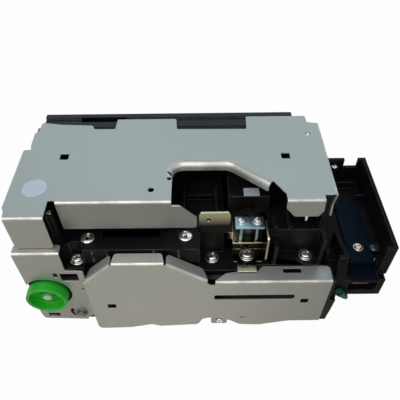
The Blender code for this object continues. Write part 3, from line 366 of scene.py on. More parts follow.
ROLLED = ("rolled_lines", {"Fineness": 1500.0, "Length": 25.0}, 0.004)
MOULDED = ("mould_texture", {"Scale": 2000.0}, 0.03)
FINISHES = {
    # On the zinc the rub tone is mostly painted highlight along folds, and the shade share is painted
    # shade.
    "zinc": finish("blue_zinc_plate", (screen(167, 165, 160), screen(170, 168, 163)), (0.34, 0.36), 0.40,
                   cloud=16.0, wear_and_highlight=(0.6, screen(226, 224, 219), 70.0), relief=ROLLED, painted_shade_amount=0.3),
    # A lighter copy of the zinc: painted light, for the guard that the floor lights more than the cover.
    "lit_zinc": finish("lit_zinc_plate", (screen(183, 181, 176), screen(186, 184, 179)),
                          (0.34, 0.36), 0.40, cloud=16.0, wear_and_highlight=(0.6, screen(228, 226, 221), 70.0),
                          relief=ROLLED, painted_shade_amount=0.3),
    "yellow_zinc": finish("yellow_chromate", (screen(158, 158, 132), screen(166, 162, 134)), (0.16, 0.24),
                          1.0, cloud=120.0, wear_and_highlight=(0.7, screen(206, 204, 160)), relief=ROLLED, painted_shade_amount=0.9),
    "steel": finish("bright_nickel", (screen(214, 213, 211), screen(228, 226, 222)), (0.14, 0.24), 0.9,
                    cloud=160.0, wear_and_highlight=(0.4, screen(244, 242, 238)), painted_shade_amount=0.95,
                    relief=("rolled_lines", {"Fineness": 2600.0, "Length": 400.0}, 0.006)),
    "brass": finish("plain_brass", (screen(196, 160, 92), screen(210, 178, 112)), (0.2, 0.34), 1.0,
                    cloud=140.0, relief=ROLLED),
    # The rub tone of this black is mostly painted highlight along edges and ribs.
    "black_plastic": finish("black_moulding", (screen(15, 15, 15), screen(20, 19, 18)), (0.40, 0.52),
                            cloud=60.0, wear_and_highlight=(0.85, screen(96, 93, 90)), dust=0.003, relief=MOULDED,
                            specular=0.12),
    "deep_black": finish("deep_black_moulding", (screen(18, 17, 19), screen(24, 22, 24)), (0.42, 0.55),
                         cloud=60.0, wear_and_highlight=(0.7, screen(74, 73, 76)), relief=MOULDED, specular=0.05),
    "satin_black": finish("satin_black_moulding", (screen(16, 17, 20), screen(22, 23, 26)), (0.30, 0.40),
                          cloud=40.0, wear_and_highlight=(0.35, screen(70, 70, 72)), dust=0.02, relief=MOULDED,
                          specular=0.2),
    "grey_plastic": finish("dark_grey_moulding", (screen(62, 63, 66), screen(74, 74, 76)), (0.4, 0.55),
                           cloud=80.0, wear_and_highlight=(0.3, screen(110, 110, 110)), dust=0.08, relief=MOULDED,
                           specular=0.4),
    "green_plastic": finish("green_moulding", (screen(22, 176, 30), screen(32, 188, 40)), (0.34, 0.48),
                            cloud=90.0, wear_and_highlight=(0.35, screen(88, 212, 88)), relief=MOULDED, specular=0.4),
    "white_plastic": finish("natural_acetal", (screen(216, 211, 196), screen(228, 224, 212)), (0.35, 0.5),
                            cloud=90.0, wear_and_highlight=(0.3, screen(244, 242, 234)), relief=MOULDED),
    "rubber": finish("matt_rubber", (screen(24, 24, 24), screen(34, 33, 32)), (0.7, 0.88), cloud=150.0,
                     wear_and_highlight=(0.4, screen(70, 68, 66)), dust=0.15, specular=0.25,
                     relief=("mould_texture", {"Scale": 1400.0}, 0.05)),
    "board": finish("dark_solder_mask", (screen(6, 16, 26), screen(9, 20, 31)), (0.42, 0.52), cloud=70.0,
                    wear_and_highlight=(0.4, screen(84, 80, 66)), specular=0.04,
                    relief=("mould_texture", {"Scale": 900.0}, 0.008)),
    "lever_green": finish("dark_green_moulding", (screen(12, 74, 50), screen(18, 90, 60)), (0.34, 0.48),
                          cloud=90.0, wear_and_highlight=(0.35, screen(70, 150, 110)), relief=MOULDED, specular=0.3),
    "red_paint": finish("red_lock_paint", (screen(132, 14, 24), screen(156, 22, 30)), (0.26, 0.4),
                        cloud=300.0, wear_and_highlight=(0.2, screen(188, 62, 58)), specular=0.3),
    "label_paper": finish("label_paper", (screen(194, 203, 214), screen(205, 212, 221)), (0.5, 0.62),
                          cloud=180.0, wear_and_highlight=(0.4, screen(226, 230, 236)), specular=0.3,
                          relief=("mould_texture", {"Scale": 900.0}, 0.02)),
    "enamelled_wire": finish("enamelled_wire", (screen(92, 46, 26), screen(120, 66, 36)), (0.2, 0.32), 0.7,
                             cloud=200.0, wear_and_highlight=(0.3, screen(190, 120, 80))),
    "clear_lens": finish("smoked_lens", (screen(24, 40, 48), screen(36, 54, 62)), (0.22, 0.32), cloud=250.0,
                         wear_and_highlight=(0.3, screen(110, 128, 134)), coat=0.15),
    "solder": finish("tinned_pads", (screen(150, 150, 148), screen(172, 170, 164)), (0.24, 0.4), 1.0,
                     cloud=400.0),
    "copper": finish("copper_plate", (screen(190, 118, 84), screen(206, 142, 108)), (0.2, 0.34), 1.0,
                     cloud=140.0, wear_and_highlight=(0.5, screen(238, 196, 166)), relief=ROLLED),
    "blue_steel": finish("blue_passivated_steel", (screen(118, 150, 158), screen(140, 168, 174)),
                         (0.16, 0.28), 0.95, cloud=180.0, wear_and_highlight=(0.5, screen(226, 236, 238)), relief=ROLLED),
    "rose_plate": finish("rose_plate", (screen(196, 168, 160), screen(216, 194, 186)), (0.14, 0.26), 1.0,
                         cloud=160.0, wear_and_highlight=(0.4, screen(244, 226, 220)), painted_shade_amount=0.95),
    # A darker copy of the steel, duller in its roughness too: painted shade for the screw in shadow on the
    # knob plate.
    "dull_shaded_steel": finish("dull_shaded_steel", (screen(122, 118, 112), screen(136, 131, 124)), (0.34, 0.46), 0.6,
                         cloud=160.0, wear_and_highlight=(0.4, screen(176, 172, 165)), painted_shade_amount=0.95),
    "dark_lacquer": finish("dark_lacquered_wire", (screen(44, 40, 33), screen(60, 54, 44)), (0.24, 0.38),
                           0.4, cloud=200.0, wear_and_highlight=(0.3, screen(110, 96, 78))),
}
print("finishes:", len(FINISHES))

# %% [markdown]
# A moulded or cut piece is never razor sharp, and a rounded edge is what catches the light. The
# helper below takes a copy of a solid, merges its loose triangles, joins flat neighbours and
# rounds every corner. It then bakes the result and writes the edge number that the edge rub, with its
# painted highlight, reads, which stays zero on every face broader than BROAD millimetres.

# %% Piece helpers
BROAD = 0.6


def as_object(bm, name):
    mesh = bpy.data.meshes.new(name)
    bm.to_mesh(mesh)
    bm.free()
    obj = bpy.data.objects.new(name, mesh)
    scene.collection.objects.link(obj)
    return obj


def baked(obj, *helpers):
    """Turn an object's modifiers into plain mesh and drop the helpers it used."""
    graph = bpy.context.evaluated_depsgraph_get()
    mesh = bpy.data.meshes.new_from_object(obj.evaluated_get(graph))
    obj.modifiers.clear()
    obj.data = mesh
    for helper in helpers:
        bpy.data.objects.remove(helper)
    return obj


def round_edges(obj, width, segments=2, above=32):
    bevel = obj.modifiers.new("round_edges", "BEVEL")
    bevel.width = width * MM
    bevel.segments = segments
    bevel.limit_method = "ANGLE"
    bevel.angle_limit = radians(above)
    bevel.use_clamp_overlap = False
    return baked(obj)


def mark_edges(mesh):
    """Store how sharply each corner stands out: 0 beside a broad face, up to 1 inside a rounding."""
    bm = bmesh.new()
    bm.from_mesh(mesh)
    bm.verts.index_update()
    values = [0.0] * len(bm.verts)
    for edge in bm.edges:
        if len(edge.link_faces) != 2:
            continue
        bend = edge.calc_face_angle_signed(0.0)
        share = min(1.0, max(0.0, (bend - radians(9)) / radians(8)))
        for vert in edge.verts:
            values[vert.index] = max(values[vert.index], share)
    for face in bm.faces:
        if 2 * face.calc_area() > BROAD * MM * face.calc_perimeter():
            for vert in face.verts:
                values[vert.index] = 0.0
    bm.free()
    layer = mesh.attributes.new("edge", "FLOAT", "POINT")
    layer.data.foreach_set("value", values)


def mark_painted_shade(mesh, shade_at):
    """Store how much painted shade each point gets, which the given function works out from millimetres."""
    values = [shade_at(vert.co / MM) for vert in mesh.vertices]
    layer = mesh.attributes.new("painted_shade", "FLOAT", "POINT")
    layer.data.foreach_set("value", values)


def settle(obj, slot, body, *replaced, finish_name=None, smooth=48):
    """Shade a finished piece, give it its finish and hand it to the frame."""
    obj.data.shade_smooth()
    obj.data.set_sharp_from_angle(angle=radians(smooth))
    weighted = obj.modifiers.new("flat_faces", "WEIGHTED_NORMAL")
    weighted.keep_sharp = True
    baked(obj)
    obj.data.materials.clear()
    obj.data.materials.append(FINISHES[finish_name or slot])
    mark_edges(obj.data)
    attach(obj, body)
    if replaced:
        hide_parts(*replaced)
    return obj


def copy_of(node):
    bm = bmesh.new()
    bm.from_mesh(nodes[node].data)
    bmesh.ops.remove_doubles(bm, verts=bm.verts, dist=2e-6)
    bmesh.ops.dissolve_limit(bm, angle_limit=radians(0.6), verts=bm.verts, edges=bm.edges)
    bmesh.ops.dissolve_degenerate(bm, dist=4e-6, edges=bm.edges)
    return as_object(bm, node + "_piece")


def dress(node, slot, width, finish_name=None):
    piece = round_edges(copy_of(node), width)
    return settle(piece, slot, nodes[node]["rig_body"], node, finish_name=finish_name)


print("helpers ready")

# %% [markdown]
# The large mouldings carry everything else: two black frames, the mouth, the cover at the back,
# the card guides and the housing over the contacts. Their solids already have the right form,
# so each one is a rounded copy.

# %% Black mouldings
ROUNDING = {"upper_frame": 0.3, "lower_frame": 0.3, "contact_housing": 0.5, "upper_guide": 0.2,
            "lower_guide": 0.2}
for node, width in ROUNDING.items():
    dress(node, "black_plastic", width)
dress("mouth_frame", "black_plastic", 0.45, "deep_black")
dress("rear_cover", "black_plastic", 0.5, "satin_black")
print("mouldings:", len(ROUNDING) + 2)

# %% [markdown]
# The plated sheets are what the eye meets first. On the real reader they are cut flat and folded
# in a press, so they are made the same way: a flat outline with rounded corners, flanges turned
# back round a small radius, a thickness, then the holes. A run of edges with the same fold name
# turns as one lip, which lets the window's lip follow its rounded corner.

# %% Folding a sheet
SHEET = 1.0
BEND = 1.6
BEND_STEPS = 7


def filleted(points, steps=5):
    """Replace each (u, v, radius, fold) corner by an arc; returns (point, fold) pairs."""
    result = []
    count = len(points)
    for index, (u, v, radius, fold) in enumerate(points):
        here = Vector((u, v))
        before = Vector(points[index - 1][:2]) - here
        after = Vector(points[(index + 1) % count][:2]) - here
        half = before.angle(after) / 2 if radius else 0
        reach = radius / max(sin(half) / max(cos(half), 1e-6), 1e-6) if radius else 0
        reach = min(reach, 0.48 * before.length, 0.48 * after.length)
        if reach < 0.02:
            result.append((here, fold))
            continue
        start = here + before.normalized() * reach
        end = here + after.normalized() * reach
        for step in range(steps + 1):
            share = step / steps
            point = start * (1 - share) ** 2 + here * (2 * share * (1 - share)) + end * share ** 2
            result.append((point, fold if step == steps else None))
    return result


def fold_runs(outline):
    """Group consecutive folded edges that share a name, as lists of outline indices."""
    runs = {}
    for index, (_, fold) in enumerate(outline):
        if fold:
            runs.setdefault(fold, [index]).append((index + 1) % len(outline))
    return runs


def inward_normals(points):
    """Mitred inward normals along a run of points."""
    sides = []
    for first, second in zip(points, points[1:]):
        along = (second - first).normalized()
        sides.append(Vector((-along.y, along.x)))
    normals = [sides[0]]
    for first, second in zip(sides, sides[1:]):
        normals.append((first + second) / (1 + first.dot(second)))
    normals.append(sides[-1])
    return normals


def flange_rim(start, along, rim, last, corner):
    """The free edge of a flange, with its corners rounded."""
    ends = [(0.0, BEND, 0, None)]
    ends += [(distance, depth, corner, None) for distance, depth in rim]
    ends.append((last, BEND, 0, None))
    rounded = filleted(ends)
    return [(start + along * point.x, point.y) for point, _ in rounded[1:-1]]


def folded_sheet(name, place, outline, flanges, corner=1.8, rolls=None):
    """Make a folded sheet; flanges maps a fold name to a depth or to (distance, depth) points.

    A fold that rolls names turns round its own radius, every other one round BEND.
    """
    bm = bmesh.new()
    rolls = rolls or {}
    outline = filleted(outline)
    pulled = [point.copy() for point, _ in outline]
    runs = {}
    for fold, indices in fold_runs(outline).items():
        points = [outline[index][0] for index in indices]
        normals = inward_normals(points)
        bend = rolls.get(fold, BEND)
        runs[fold] = (indices, points, normals, bend)
        for index, point, normal in zip(indices, points, normals):
            pulled[index] = point + normal * bend
    face = [bm.verts.new(place(point.x, point.y, 0)) for point in pulled]
    bm.faces.new(face)
    for fold, (indices, points, normals, bend) in runs.items():
        ring = [face[index] for index in indices]
        turns = [0.5 * pi * step / BEND_STEPS for step in range(1, BEND_STEPS + 1)]
        levels = [(bend * (1 - sin(turn)), bend * (1 - cos(turn))) for turn in turns]
        if not isinstance(flanges[fold], list):
            levels.append((0.0, flanges[fold]))
        for pull, depth in levels:
            after = []
            for point, normal in zip(points, normals):
                moved = point + normal * pull
                after.append(bm.verts.new(place(moved.x, moved.y, depth)))
            for side in range(len(ring) - 1):
                bm.faces.new([ring[side + 1], ring[side], after[side], after[side + 1]])
            ring = after
        if isinstance(flanges[fold], list):
            span = points[-1] - points[0]
            rim = flange_rim(points[0], span.normalized(), flanges[fold], span.length, corner)
            free = [bm.verts.new(place(point.x, point.y, depth)) for point, depth in rim]
            bm.faces.new([ring[-1], ring[0]] + free)
    sheet = as_object(bm, name)
    wall = sheet.modifiers.new("wall", "SOLIDIFY")
    wall.thickness = SHEET
    wall.offset = -1
    wall.use_even_offset = True
    return baked(sheet)


print("bends in", BEND_STEPS, "steps of radius", BEND, "mm")

# %% [markdown]
# Holes and slots are cut with small prisms. The prisms are made along any axis from an outline,
# and the boolean cut is baked at once. Sheets are scaled to metres only after the cuts.

# %% Prisms and cuts
def on_axis(axis, u, v, w):
    return {"X": (w, u, v), "Y": (u, w, v), "Z": (u, v, w)}[axis]


def prism(axis, outline, low, high, name="tool"):
    bm = bmesh.new()
    ring = [bm.verts.new(on_axis(axis, u, v, low)) for u, v in outline]
    face = bm.faces.new(ring)
    top = bmesh.ops.extrude_face_region(bm, geom=[face])["geom"]
    moved = [item for item in top if isinstance(item, bmesh.types.BMVert)]
    bmesh.ops.translate(bm, vec=on_axis(axis, 0, 0, high - low), verts=moved)
    bmesh.ops.recalc_face_normals(bm, faces=bm.faces)
    return as_object(bm, name)


def circle(centre, radius, sides=32, start=0.0, turn=2 * pi):
    count = sides if turn == 2 * pi else sides + 1
    angles = [start + turn * step / sides for step in range(count)]
    return [(centre[0] + radius * cos(angle), centre[1] + radius * sin(angle)) for angle in angles]


def rounded_box(u, v, radius=0.5):
    corners = [(u[0], v[0]), (u[1], v[0]), (u[1], v[1]), (u[0], v[1])]
    return [(point.x, point.y) for point, _ in filleted([(*c, radius, None) for c in corners])]


def combined(base, operation, tools):
    for tool in tools:
        step = base.modifiers.new(operation, "BOOLEAN")
        step.operation = operation
        step.solver = "EXACT"
        step.object = tool
    return baked(base, *tools)


def cut(base, *tools):
    return combined(base, "DIFFERENCE", tools)


def fused(base, *tools):
    return combined(base, "UNION", tools)


def to_metres(obj):
    obj.data.transform(Matrix.Scale(MM, 4))
    return obj


def clean_sheet(sheet):
    """Scale a cut sheet, join its flat faces and break its edges."""
    to_metres(sheet)
    bm = bmesh.new()
    bm.from_mesh(sheet.data)
    bmesh.ops.remove_doubles(bm, verts=bm.verts, dist=2e-6)
    bmesh.ops.dissolve_limit(bm, angle_limit=radians(0.4), verts=bm.verts, edges=bm.edges)
    bm.to_mesh(sheet.data)
    bm.free()
    return round_edges(sheet, 0.14, above=50)


print("tools ready")

# %% [markdown]
# The top cover spans the whole reader. Its front edge steps from a deep tab at the left to a long
# apron, then opens into a window with a turned lip over the solenoid, and ends in a short tab and
# a flange at the right. The lip is rolled wider than the other folds and carries a painted
# highlight all over, and the apron and right tab carry painted shade.

# %% Top cover
COVER_TOP = 106.5
COVER_LEFT = -107.1
COVER_RIGHT = 69.8
COVER_FOLD = -28.25
TAB_FOLD = -38.9
LIP_ROLL = 3.5
LIP_DEPTH = 5.4
LIP_SPAN = (-24.5, 36.5)
LIP_NEAR = -18.0
APRON_START = -82.0
# How much painted shade the apron, growing to the right, and the right tab carry.
APRON_SHADE = 0.739
APRON_SHADE_SLOPE = 0.0055
TAB_SHADE = 0.6


def paint_lip_highlight(mesh):
    """Paint a highlight over the whole of the window's lip, from the start of its roll to its free edge."""
    layer = mesh.attributes["edge"]
    for vert, wear_and_highlight in zip(mesh.vertices, layer.data):
        x, y, z = vert.co / MM
        if LIP_SPAN[0] < x < LIP_SPAN[1] and y > LIP_NEAR and -0.1 - LIP_DEPTH < z - COVER_TOP < -0.25:
            wear_and_highlight.value = 1.0


def cover_shade(point):
    """Painted shade on the two flanges that hang over black plastic: the apron, darker to the right, and
    the right tab.
    """
    above = point.z > COVER_TOP - BEND + 0.05
    if above or point.y > COVER_FOLD + 1.2 or point.x < APRON_START:
        return 0.0
    if point.x > 0:
        return TAB_SHADE
    return APRON_SHADE + APRON_SHADE_SLOPE * (point.x - APRON_START)


def make_top_cover():
    left = [(-101.6, 40.0, 1, None), (-102.4, 31.2, 1, None), (-104.1, 29.5, 1, None),
            (-103.8, 17.9, 1, None), (-102.7, 14.6, 0.6, None), (COVER_LEFT, 14.3, 1.5, None),
            (COVER_LEFT, -31, 1, None), (-105.6, -34, 1, None)]
    front = [(-105.2, TAB_FOLD, 0, "left_tab"), (-84.3, TAB_FOLD, 0, None), (-84.3, -26.2, 0.6, None),
             (-80.5, -26.2, 0.6, None), (-80.5, COVER_FOLD, 0, "apron"), (-19.2, COVER_FOLD, 0, None)]
    corner = [(-19.2, -10.0, 0, None)]
    corner += [(u, v, 0, "lip") for u, v in circle((-13.4, -5.0), 5.8, 8, pi, -pi / 2)]
    knee = circle((9.6, -7.4), 8.2, 5, pi / 2, radians(-38.6))
    lip = corner + [(u, v, 0, "lip") for u, v in knee] + [(33.3, -16.3, 0, None)]
    right = [(36.4, -13.2, 0.3, None), (37.2, -15.0, 0.5, None), (40.4, -20.4, 1, None),
             (42.0, -22.4, 0.5, None), (42.1, COVER_FOLD, 0, "right_tab"), (62.3, COVER_FOLD, 0, None),
             (62.3, -23.8, 0.6, None), (66.5, -23.8, 0.6, None), (COVER_RIGHT, -23.5, 0, "right_side"),
             (COVER_RIGHT, 36.9, 0, None)]
    back = [(62.6, 37.8, 0.8, None), (62.4, 44.2, 1, None), (25.2, 44.2, 1, None), (24.8, 31.8, 1, None),
            (-17.7, 32.3, 1, None), (-18.4, 42.5, 1, None), (-55.1, 42.5, 1, None), (-55.6, 33.0, 1, None),
            (-68.3, 33.1, 1, None), (-69.9, 36.7, 1.5, None), (-89.5, 37.9, 2, None)]
    flanges = {
        "left_tab": [(0, 24.9), (20.9, 24.9)],
        "apron": [(0.3, 21.5), (74.5, 21.5), (74.7, 13.1), (65.6, 3.5), (61.3, 3.5)],
        "lip": LIP_DEPTH,
        "right_tab": [(0, 6.3), (5.2, 13), (18.3, 13), (20.6, 8.8)],
        "right_side": [(2.5, 11.7), (1.1, 20.5), (60.4, 20.5)],
    }
    sheet = folded_sheet("top_cover_sheet", lambda u, v, w: (u, v, COVER_TOP - w),
                         left + front + lip + right + back, flanges, rolls={"lip": LIP_ROLL})
    tools = []
    for x, y in ((-82.0, 8.1), (45.4, 7.1)):
        tools.append(prism("Z", rounded_box((x - 2.5, x + 2.5), (y - 2.5, y + 2.5)), 100, 110))
    for x, y, radius in ((-30.3, -19.2, 1.7), (61.5, 26.6, 1.6), (-20.8, -10.7, 1.3)):
        tools.append(prism("Z", circle((x, y), radius), 100, 110))
    made = clean_sheet(cut(sheet, *tools))
    # Painted shade on the apron and right tab; the lip gets its painted highlight after settling.
    mark_painted_shade(made.data, cover_shade)
    settle(made, "zinc", "chassis", "top_cover")
    paint_lip_highlight(made.data)
    return made


cover = make_top_cover()
print("top cover:", len(cover.data.polygons), "faces")

# %% [markdown]
# The drive guard stands in front of the belt and gears. Its lower edge was left wavy by the press
# tool, its upper edge carries four flanges, and it has a long slot for the fingers of a tool.
# The knob plate beside it carries the bearing of the hand knob.

# %% Drive guard and knob plate
GUARD_FACE = -44.55
PLATE_FACE = -42.65
REAR_AXLE = (-96.1, 42.3)
PLATE_SCREW = (-80.5, 19.0)


def guard_shade(point):
    """Painted shade that starts near the guard's middle and grows towards the mouth."""
    return (point.x + 3.0) / 66.0


def make_drive_guard():
    wave = [(-72.2, 0.4, 4), (-50.9, 1.2, 14), (-36.3, 5.2, 6), (-31.2, 2.6, 4), (-6.2, 4.5, 4),
            (-3.2, 11.7, 3), (2.5, 13.4, 6), (14.8, 9.5, 12), (20.4, 4.0, 9), (33.4, 3.1, 14),
            (52.4, 8.1, 16), (72.8, 8.3, 0.6)]
    outline = [(*point, None) for point in wave]
    outline += [(73.2, 54.2, 0, "right"), (4.5, 54.2, 0, None), (3.8, 50.8, 0.6, None),
                (1.4, 50.8, 0.6, None), (0.1, 55.5, 0, "slant_right"), (-23.0, 72.6, 0, None),
                (-24.6, 73.4, 0, "middle"), (-54.0, 73.4, 0, None), (-55.4, 72.5, 0, "slant_left"),
                (-71.8, 56.4, 0, None), (-72.7, 55.0, 0.8, None)]
    right_length = hypot(23.1, 17.1)
    left_length = hypot(16.4, 16.1)
    depth = 7.7
    flanges = {
        "right": [(0, 9.5), (1.8, 11.3), (40.3, 11.3), (43.8, 7.5), (56, 7.5), (62.4, 6.5)],
        "slant_right": [(3.5, depth), (right_length, depth)],
        "middle": [(1.2, depth), (28.2, depth)],
        "slant_left": [(0, depth), (left_length - 3.5, depth)],
    }
    sheet = folded_sheet("drive_guard_sheet", lambda u, v, w: (u, GUARD_FACE + w, v), outline, flanges, 2.4)
    y = (GUARD_FACE - 3, GUARD_FACE + 2.5)
    tools = [prism("Y", rounded_box((4.0, 52.9), (34.7, 40.2), 1.6), *y)]
    for x, z in (((57.1, 62), (30.1, 35.1)), ((-62.2, -57), (25.8, 31)), ((20.5, 24.9), (12.5, 13.8))):
        tools.append(prism("Y", rounded_box(x, z, 0.4), *y))
    tools.append(prism("Z", rounded_box((44.8, 55.7), (-38.1, -35)), 50, 58))
    made = clean_sheet(cut(sheet, *tools))
    # The guard carries painted shade towards the mouth, and its finish is a lighter zinc as painted light.
    mark_painted_shade(made.data, guard_shade)
    return settle(made, "zinc", "chassis", "drive_guard", finish_name="lit_zinc")


def make_knob_plate():
    outline = [(-105.9, 11.6, 1.5, None), (-78.2, 9.7, 1, None), (-75.6, 14.4, 1, None),
               (-71.5, 15, 1, None), (-71.5, 64.0, 1, None), (-81.4, 65.0, 0.6, None),
               (-81.4, 81.2, 0, "lip"), (-107.4, 81.2, 0, None), (-106.9, 17.4, 2, None)]
    sheet = folded_sheet("knob_plate_sheet", lambda u, v, w: (u, PLATE_FACE + w, v), outline,
                         {"lip": [(0, 6.5), (26.0, 6.5)]})
    y = (PLATE_FACE - 3, PLATE_FACE + 3)
    tools = [prism("Y", circle(REAR_AXLE, 14, 64), *y)]
    for x, z in (((-85.3, -75), (54.5, 62.1)), ((-89.2, -86.6), (58, 62.6)), ((-102.5, -95), (13.2, 18))):
        tools.append(prism("Y", rounded_box(x, z, 0.6), *y))
    for centre, radius in ((PLATE_SCREW, 1.9), ((-74.5, 45.7), 1.0)):
        tools.append(prism("Y", circle(centre, radius), *y))
    outer = circle(PLATE_SCREW, 7.2, 10, radians(140), radians(85))
    inner = circle(PLATE_SCREW, 4.9, 10, radians(225), radians(-85))
    tools.append(prism("Y", outer + inner, *y))
    return settle(clean_sheet(cut(sheet, *tools)), "zinc", "chassis", "knob_plate")


guard = make_drive_guard()
plate = make_knob_plate()
print("guard:", len(guard.data.polygons), "faces; plate:", len(plate.data.polygons), "faces")

# %% [markdown]
# Turned pieces come off a lathe or out of a round mould: the hand knob, shafts, rollers and
# pulleys. Their solids have few sides, so they are spun again here with a fine step, from a
# profile of heights and radii with rounded corners.

# %% Turned pieces
def turned(name, axis, centre, profile, sides=64, corner=0.0):
    """Spin (height, radius) points about an axis; a profile that leaves the axis is a closed ring."""
    ring_shape = profile[0][1] > 0
    corners = [(height, radius, corner, None) for height, radius in profile]
    if not ring_shape:
        corners[0] = (*profile[0], 0, None)
        corners[-1] = (*profile[-1], 0, None)
    smooth = [(point.x, point.y) for point, _ in filleted(corners, 4)]
    bm = bmesh.new()
    rings = []
    for height, radius in smooth:
        if radius < 1e-4:
            rings.append([bm.verts.new(on_axis(axis, *centre, height))])
        else:
            around = circle(centre, radius, sides)
            rings.append([bm.verts.new(on_axis(axis, u, v, height)) for u, v in around])
    pairs = list(zip(rings, rings[1:]))
    if ring_shape:
        pairs.append((rings[-1], rings[0]))
    for first, second in pairs:
        for side in range(sides):
            after = (side + 1) % sides
            ends = [first[side % len(first)], first[after % len(first)],
                    second[after % len(second)], second[side % len(second)]]
            bm.faces.new(list(dict.fromkeys(ends)))
    bmesh.ops.recalc_face_normals(bm, faces=bm.faces)
    return to_metres(as_object(bm, name))


KNOB_FRONT = -48.75
KNOB_CUP = KNOB_FRONT + 5.0


def make_knob():
    profile = [(-41.3, 2.8), (-41.3, 11.9), (-44.0, 12.2), (KNOB_FRONT, 12.0), (KNOB_FRONT, 10.3),
               (KNOB_CUP, 9.5), (KNOB_CUP, 4.2), (KNOB_CUP - 2.0, 3.9), (KNOB_CUP - 2.0, 2.8)]
    knob = turned("hand_knob_turned", "Y", REAR_AXLE, profile, 96, 0.8)
    return settle(knob, "green_plastic", "rear_axle", "hand_knob", smooth=60)


make_knob()

# %% [markdown]
# Three drive shafts run across the card path, each with a pair of rubber rollers and a pulley
# outside the frame. The rear shaft ends in a pale stub that shows in the middle of the knob.

# %% Shafts, rollers and pulleys
AXLES = {"rear": -96.1, "middle": -24.0, "front": 48.0}
AXLE_HEIGHT = 42.3
CARD_MIDDLE = 2.5
PULLEY_FRONT = -40.9
PULLEY_BACK = -36.3
SHAFT_BORE = 2.3


def make_axle(name, x):
    centre = (x, AXLE_HEIGHT)
    front = PULLEY_FRONT - 0.6
    shaft = [(front, 0), (front, 2.0), (36.6, 2.0), (36.6, 0)]
    if name == "rear":
        shaft = [(-46.4, 0), (-46.4, 2.5), (-42.4, 2.5), (-42.4, 2.0), (36.6, 2.0), (36.6, 0)]
    slot = "white_plastic" if name == "rear" else "steel"
    body = name + "_axle"
    settle(turned(name + "_shaft_turned", "Y", centre, shaft, 40, 0.35), slot, body, name + "_shaft")
    steps = [(-20, SHAFT_BORE), (-20, 6), (-8, 6), (-8, 3.2), (8, 3.2), (8, 6), (20, 6), (20, SHAFT_BORE)]
    sleeve = [(CARD_MIDDLE + y, radius) for y, radius in steps]
    rollers = turned(name + "_rollers_turned", "Y", centre, sleeve, 56, 0.3)
    settle(rollers, "rubber", body, name + "_rollers")
    rim = [(PULLEY_FRONT, SHAFT_BORE), (PULLEY_FRONT, 9), (PULLEY_FRONT + 0.6, 9),
           (PULLEY_FRONT + 0.6, 7.6), (PULLEY_BACK - 0.6, 7.6), (PULLEY_BACK - 0.6, 9),
           (PULLEY_BACK, 9), (PULLEY_BACK, SHAFT_BORE)]
    pulley = turned(name + "_pulley_turned", "Y", centre, rim, 56, 0.12)
    settle(pulley, "grey_plastic", body, name + "_pulley")


for axle_name, axle_x in AXLES.items():
    make_axle(axle_name, axle_x)
print("axles:", len(AXLES))

# %% [markdown]
# Screws repeat all over the reader, so one head is modelled and Geometry Nodes sets it out. The
# head is a turned dome with a cross recess cut by two tapered bars, and a second form carries a
# spring washer and a flat washer. The recess and the steps between washers get painted shade.
# Each screw is turned by a seeded random angle, as a hand would leave it.

# %% Screw heads
def tapered_bar(length, width, depth, top, along):
    """A bar that narrows downwards, for one stroke of a cross recess."""
    bm = bmesh.new()
    bmesh.ops.create_cube(bm, size=1.0)
    for vert in bm.verts:
        share = 1.0 if vert.co.z > 0 else 0.6
        across = (vert.co.x * length * share, vert.co.y * width * share)
        x, y = across if along == "X" else across[::-1]
        vert.co = (x, y, top + 0.2 if vert.co.z > 0 else top - depth)
    bmesh.ops.recalc_face_normals(bm, faces=bm.faces)
    return as_object(bm, "bar")


def screw_head(name, radius, washers):
    """A pan head of that radius standing on z = 0, on washers if wanted."""
    # Bands that get painted shade: the washer steps here and the cross recess below.
    shaded_bands = []
    base = 0.0
    profile = [(0.0, 0.0)]
    if washers:
        profile += [(0, 1.42 * radius), (0.2 * radius, 1.42 * radius), (0.2 * radius, 1.16 * radius),
                    (0.44 * radius, 1.16 * radius)]
        base = 0.44 * radius
        shaded_bands = [(0.2 * radius, 1.16 * radius, 0.09), (base, radius, 0.09)]
    profile += [(base, radius), (base + 0.32 * radius, radius)]
    for step in range(1, 7):
        lean = radians(15 * step)
        profile.append((base + (0.32 + 0.22 * sin(lean)) * radius, radius * cos(lean)))
    profile[-1] = (profile[-1][0], 0.0)
    head = turned(name, "Z", (0, 0), profile, 40, 0.12)
    head.data.transform(Matrix.Scale(1 / MM, 4))
    top = base + 0.54 * radius
    bars = [tapered_bar(1.36 * radius, 0.42 * radius, 0.46 * radius, top, along) for along in ("X", "Y")]
    head = round_edges(to_metres(cut(head, *bars)), 0.05, above=40)
    shaded_bands.append((top - 0.42 * radius, 0, 0.34 * radius))

    def shade_at(point):
        near = [max(abs(point.z - height), abs(point.xy.length - ring)) < reach
                for height, ring, reach in shaded_bands]
        return float(any(near))

    mark_painted_shade(head.data, shade_at)
    return head


HEADS = {"pan": screw_head("pan_head", 1.0, False), "washer": screw_head("washer_head", 1.0, True)}
for head in HEADS.values():
    head.hide_render = True
    head.hide_viewport = True
print("head faces:", {name: len(head.data.polygons) for name, head in HEADS.items()})

# %% [markdown]
# The tree takes a mesh whose points are the seats, puts the chosen head on each, turns it and
# makes the result real. Its sizes are named inputs, set by identifier on the modifier.

# %% Screw tree
def tree_inputs(tree, sockets):
    """Add named inputs and return their identifiers."""
    found = {}
    for label, kind in sockets.items():
        found[label] = tree.interface.new_socket(name=label, in_out="INPUT", socket_type=kind).identifier
    tree.interface.new_socket(name="Geometry", in_out="OUTPUT", socket_type="NodeSocketGeometry")
    return found


def ended(tree, given, geometry):
    """Finish a tree: real instances, then a material."""
    real = put(tree, "GeometryNodeRealizeInstances", {"Geometry": geometry})
    coated = put(tree, "GeometryNodeSetMaterial", {"Geometry": real.outputs[0],
                                                   "Material": given.outputs["Finish"]})
    put(tree, "NodeGroupOutput", {"Geometry": coated.outputs[0]})


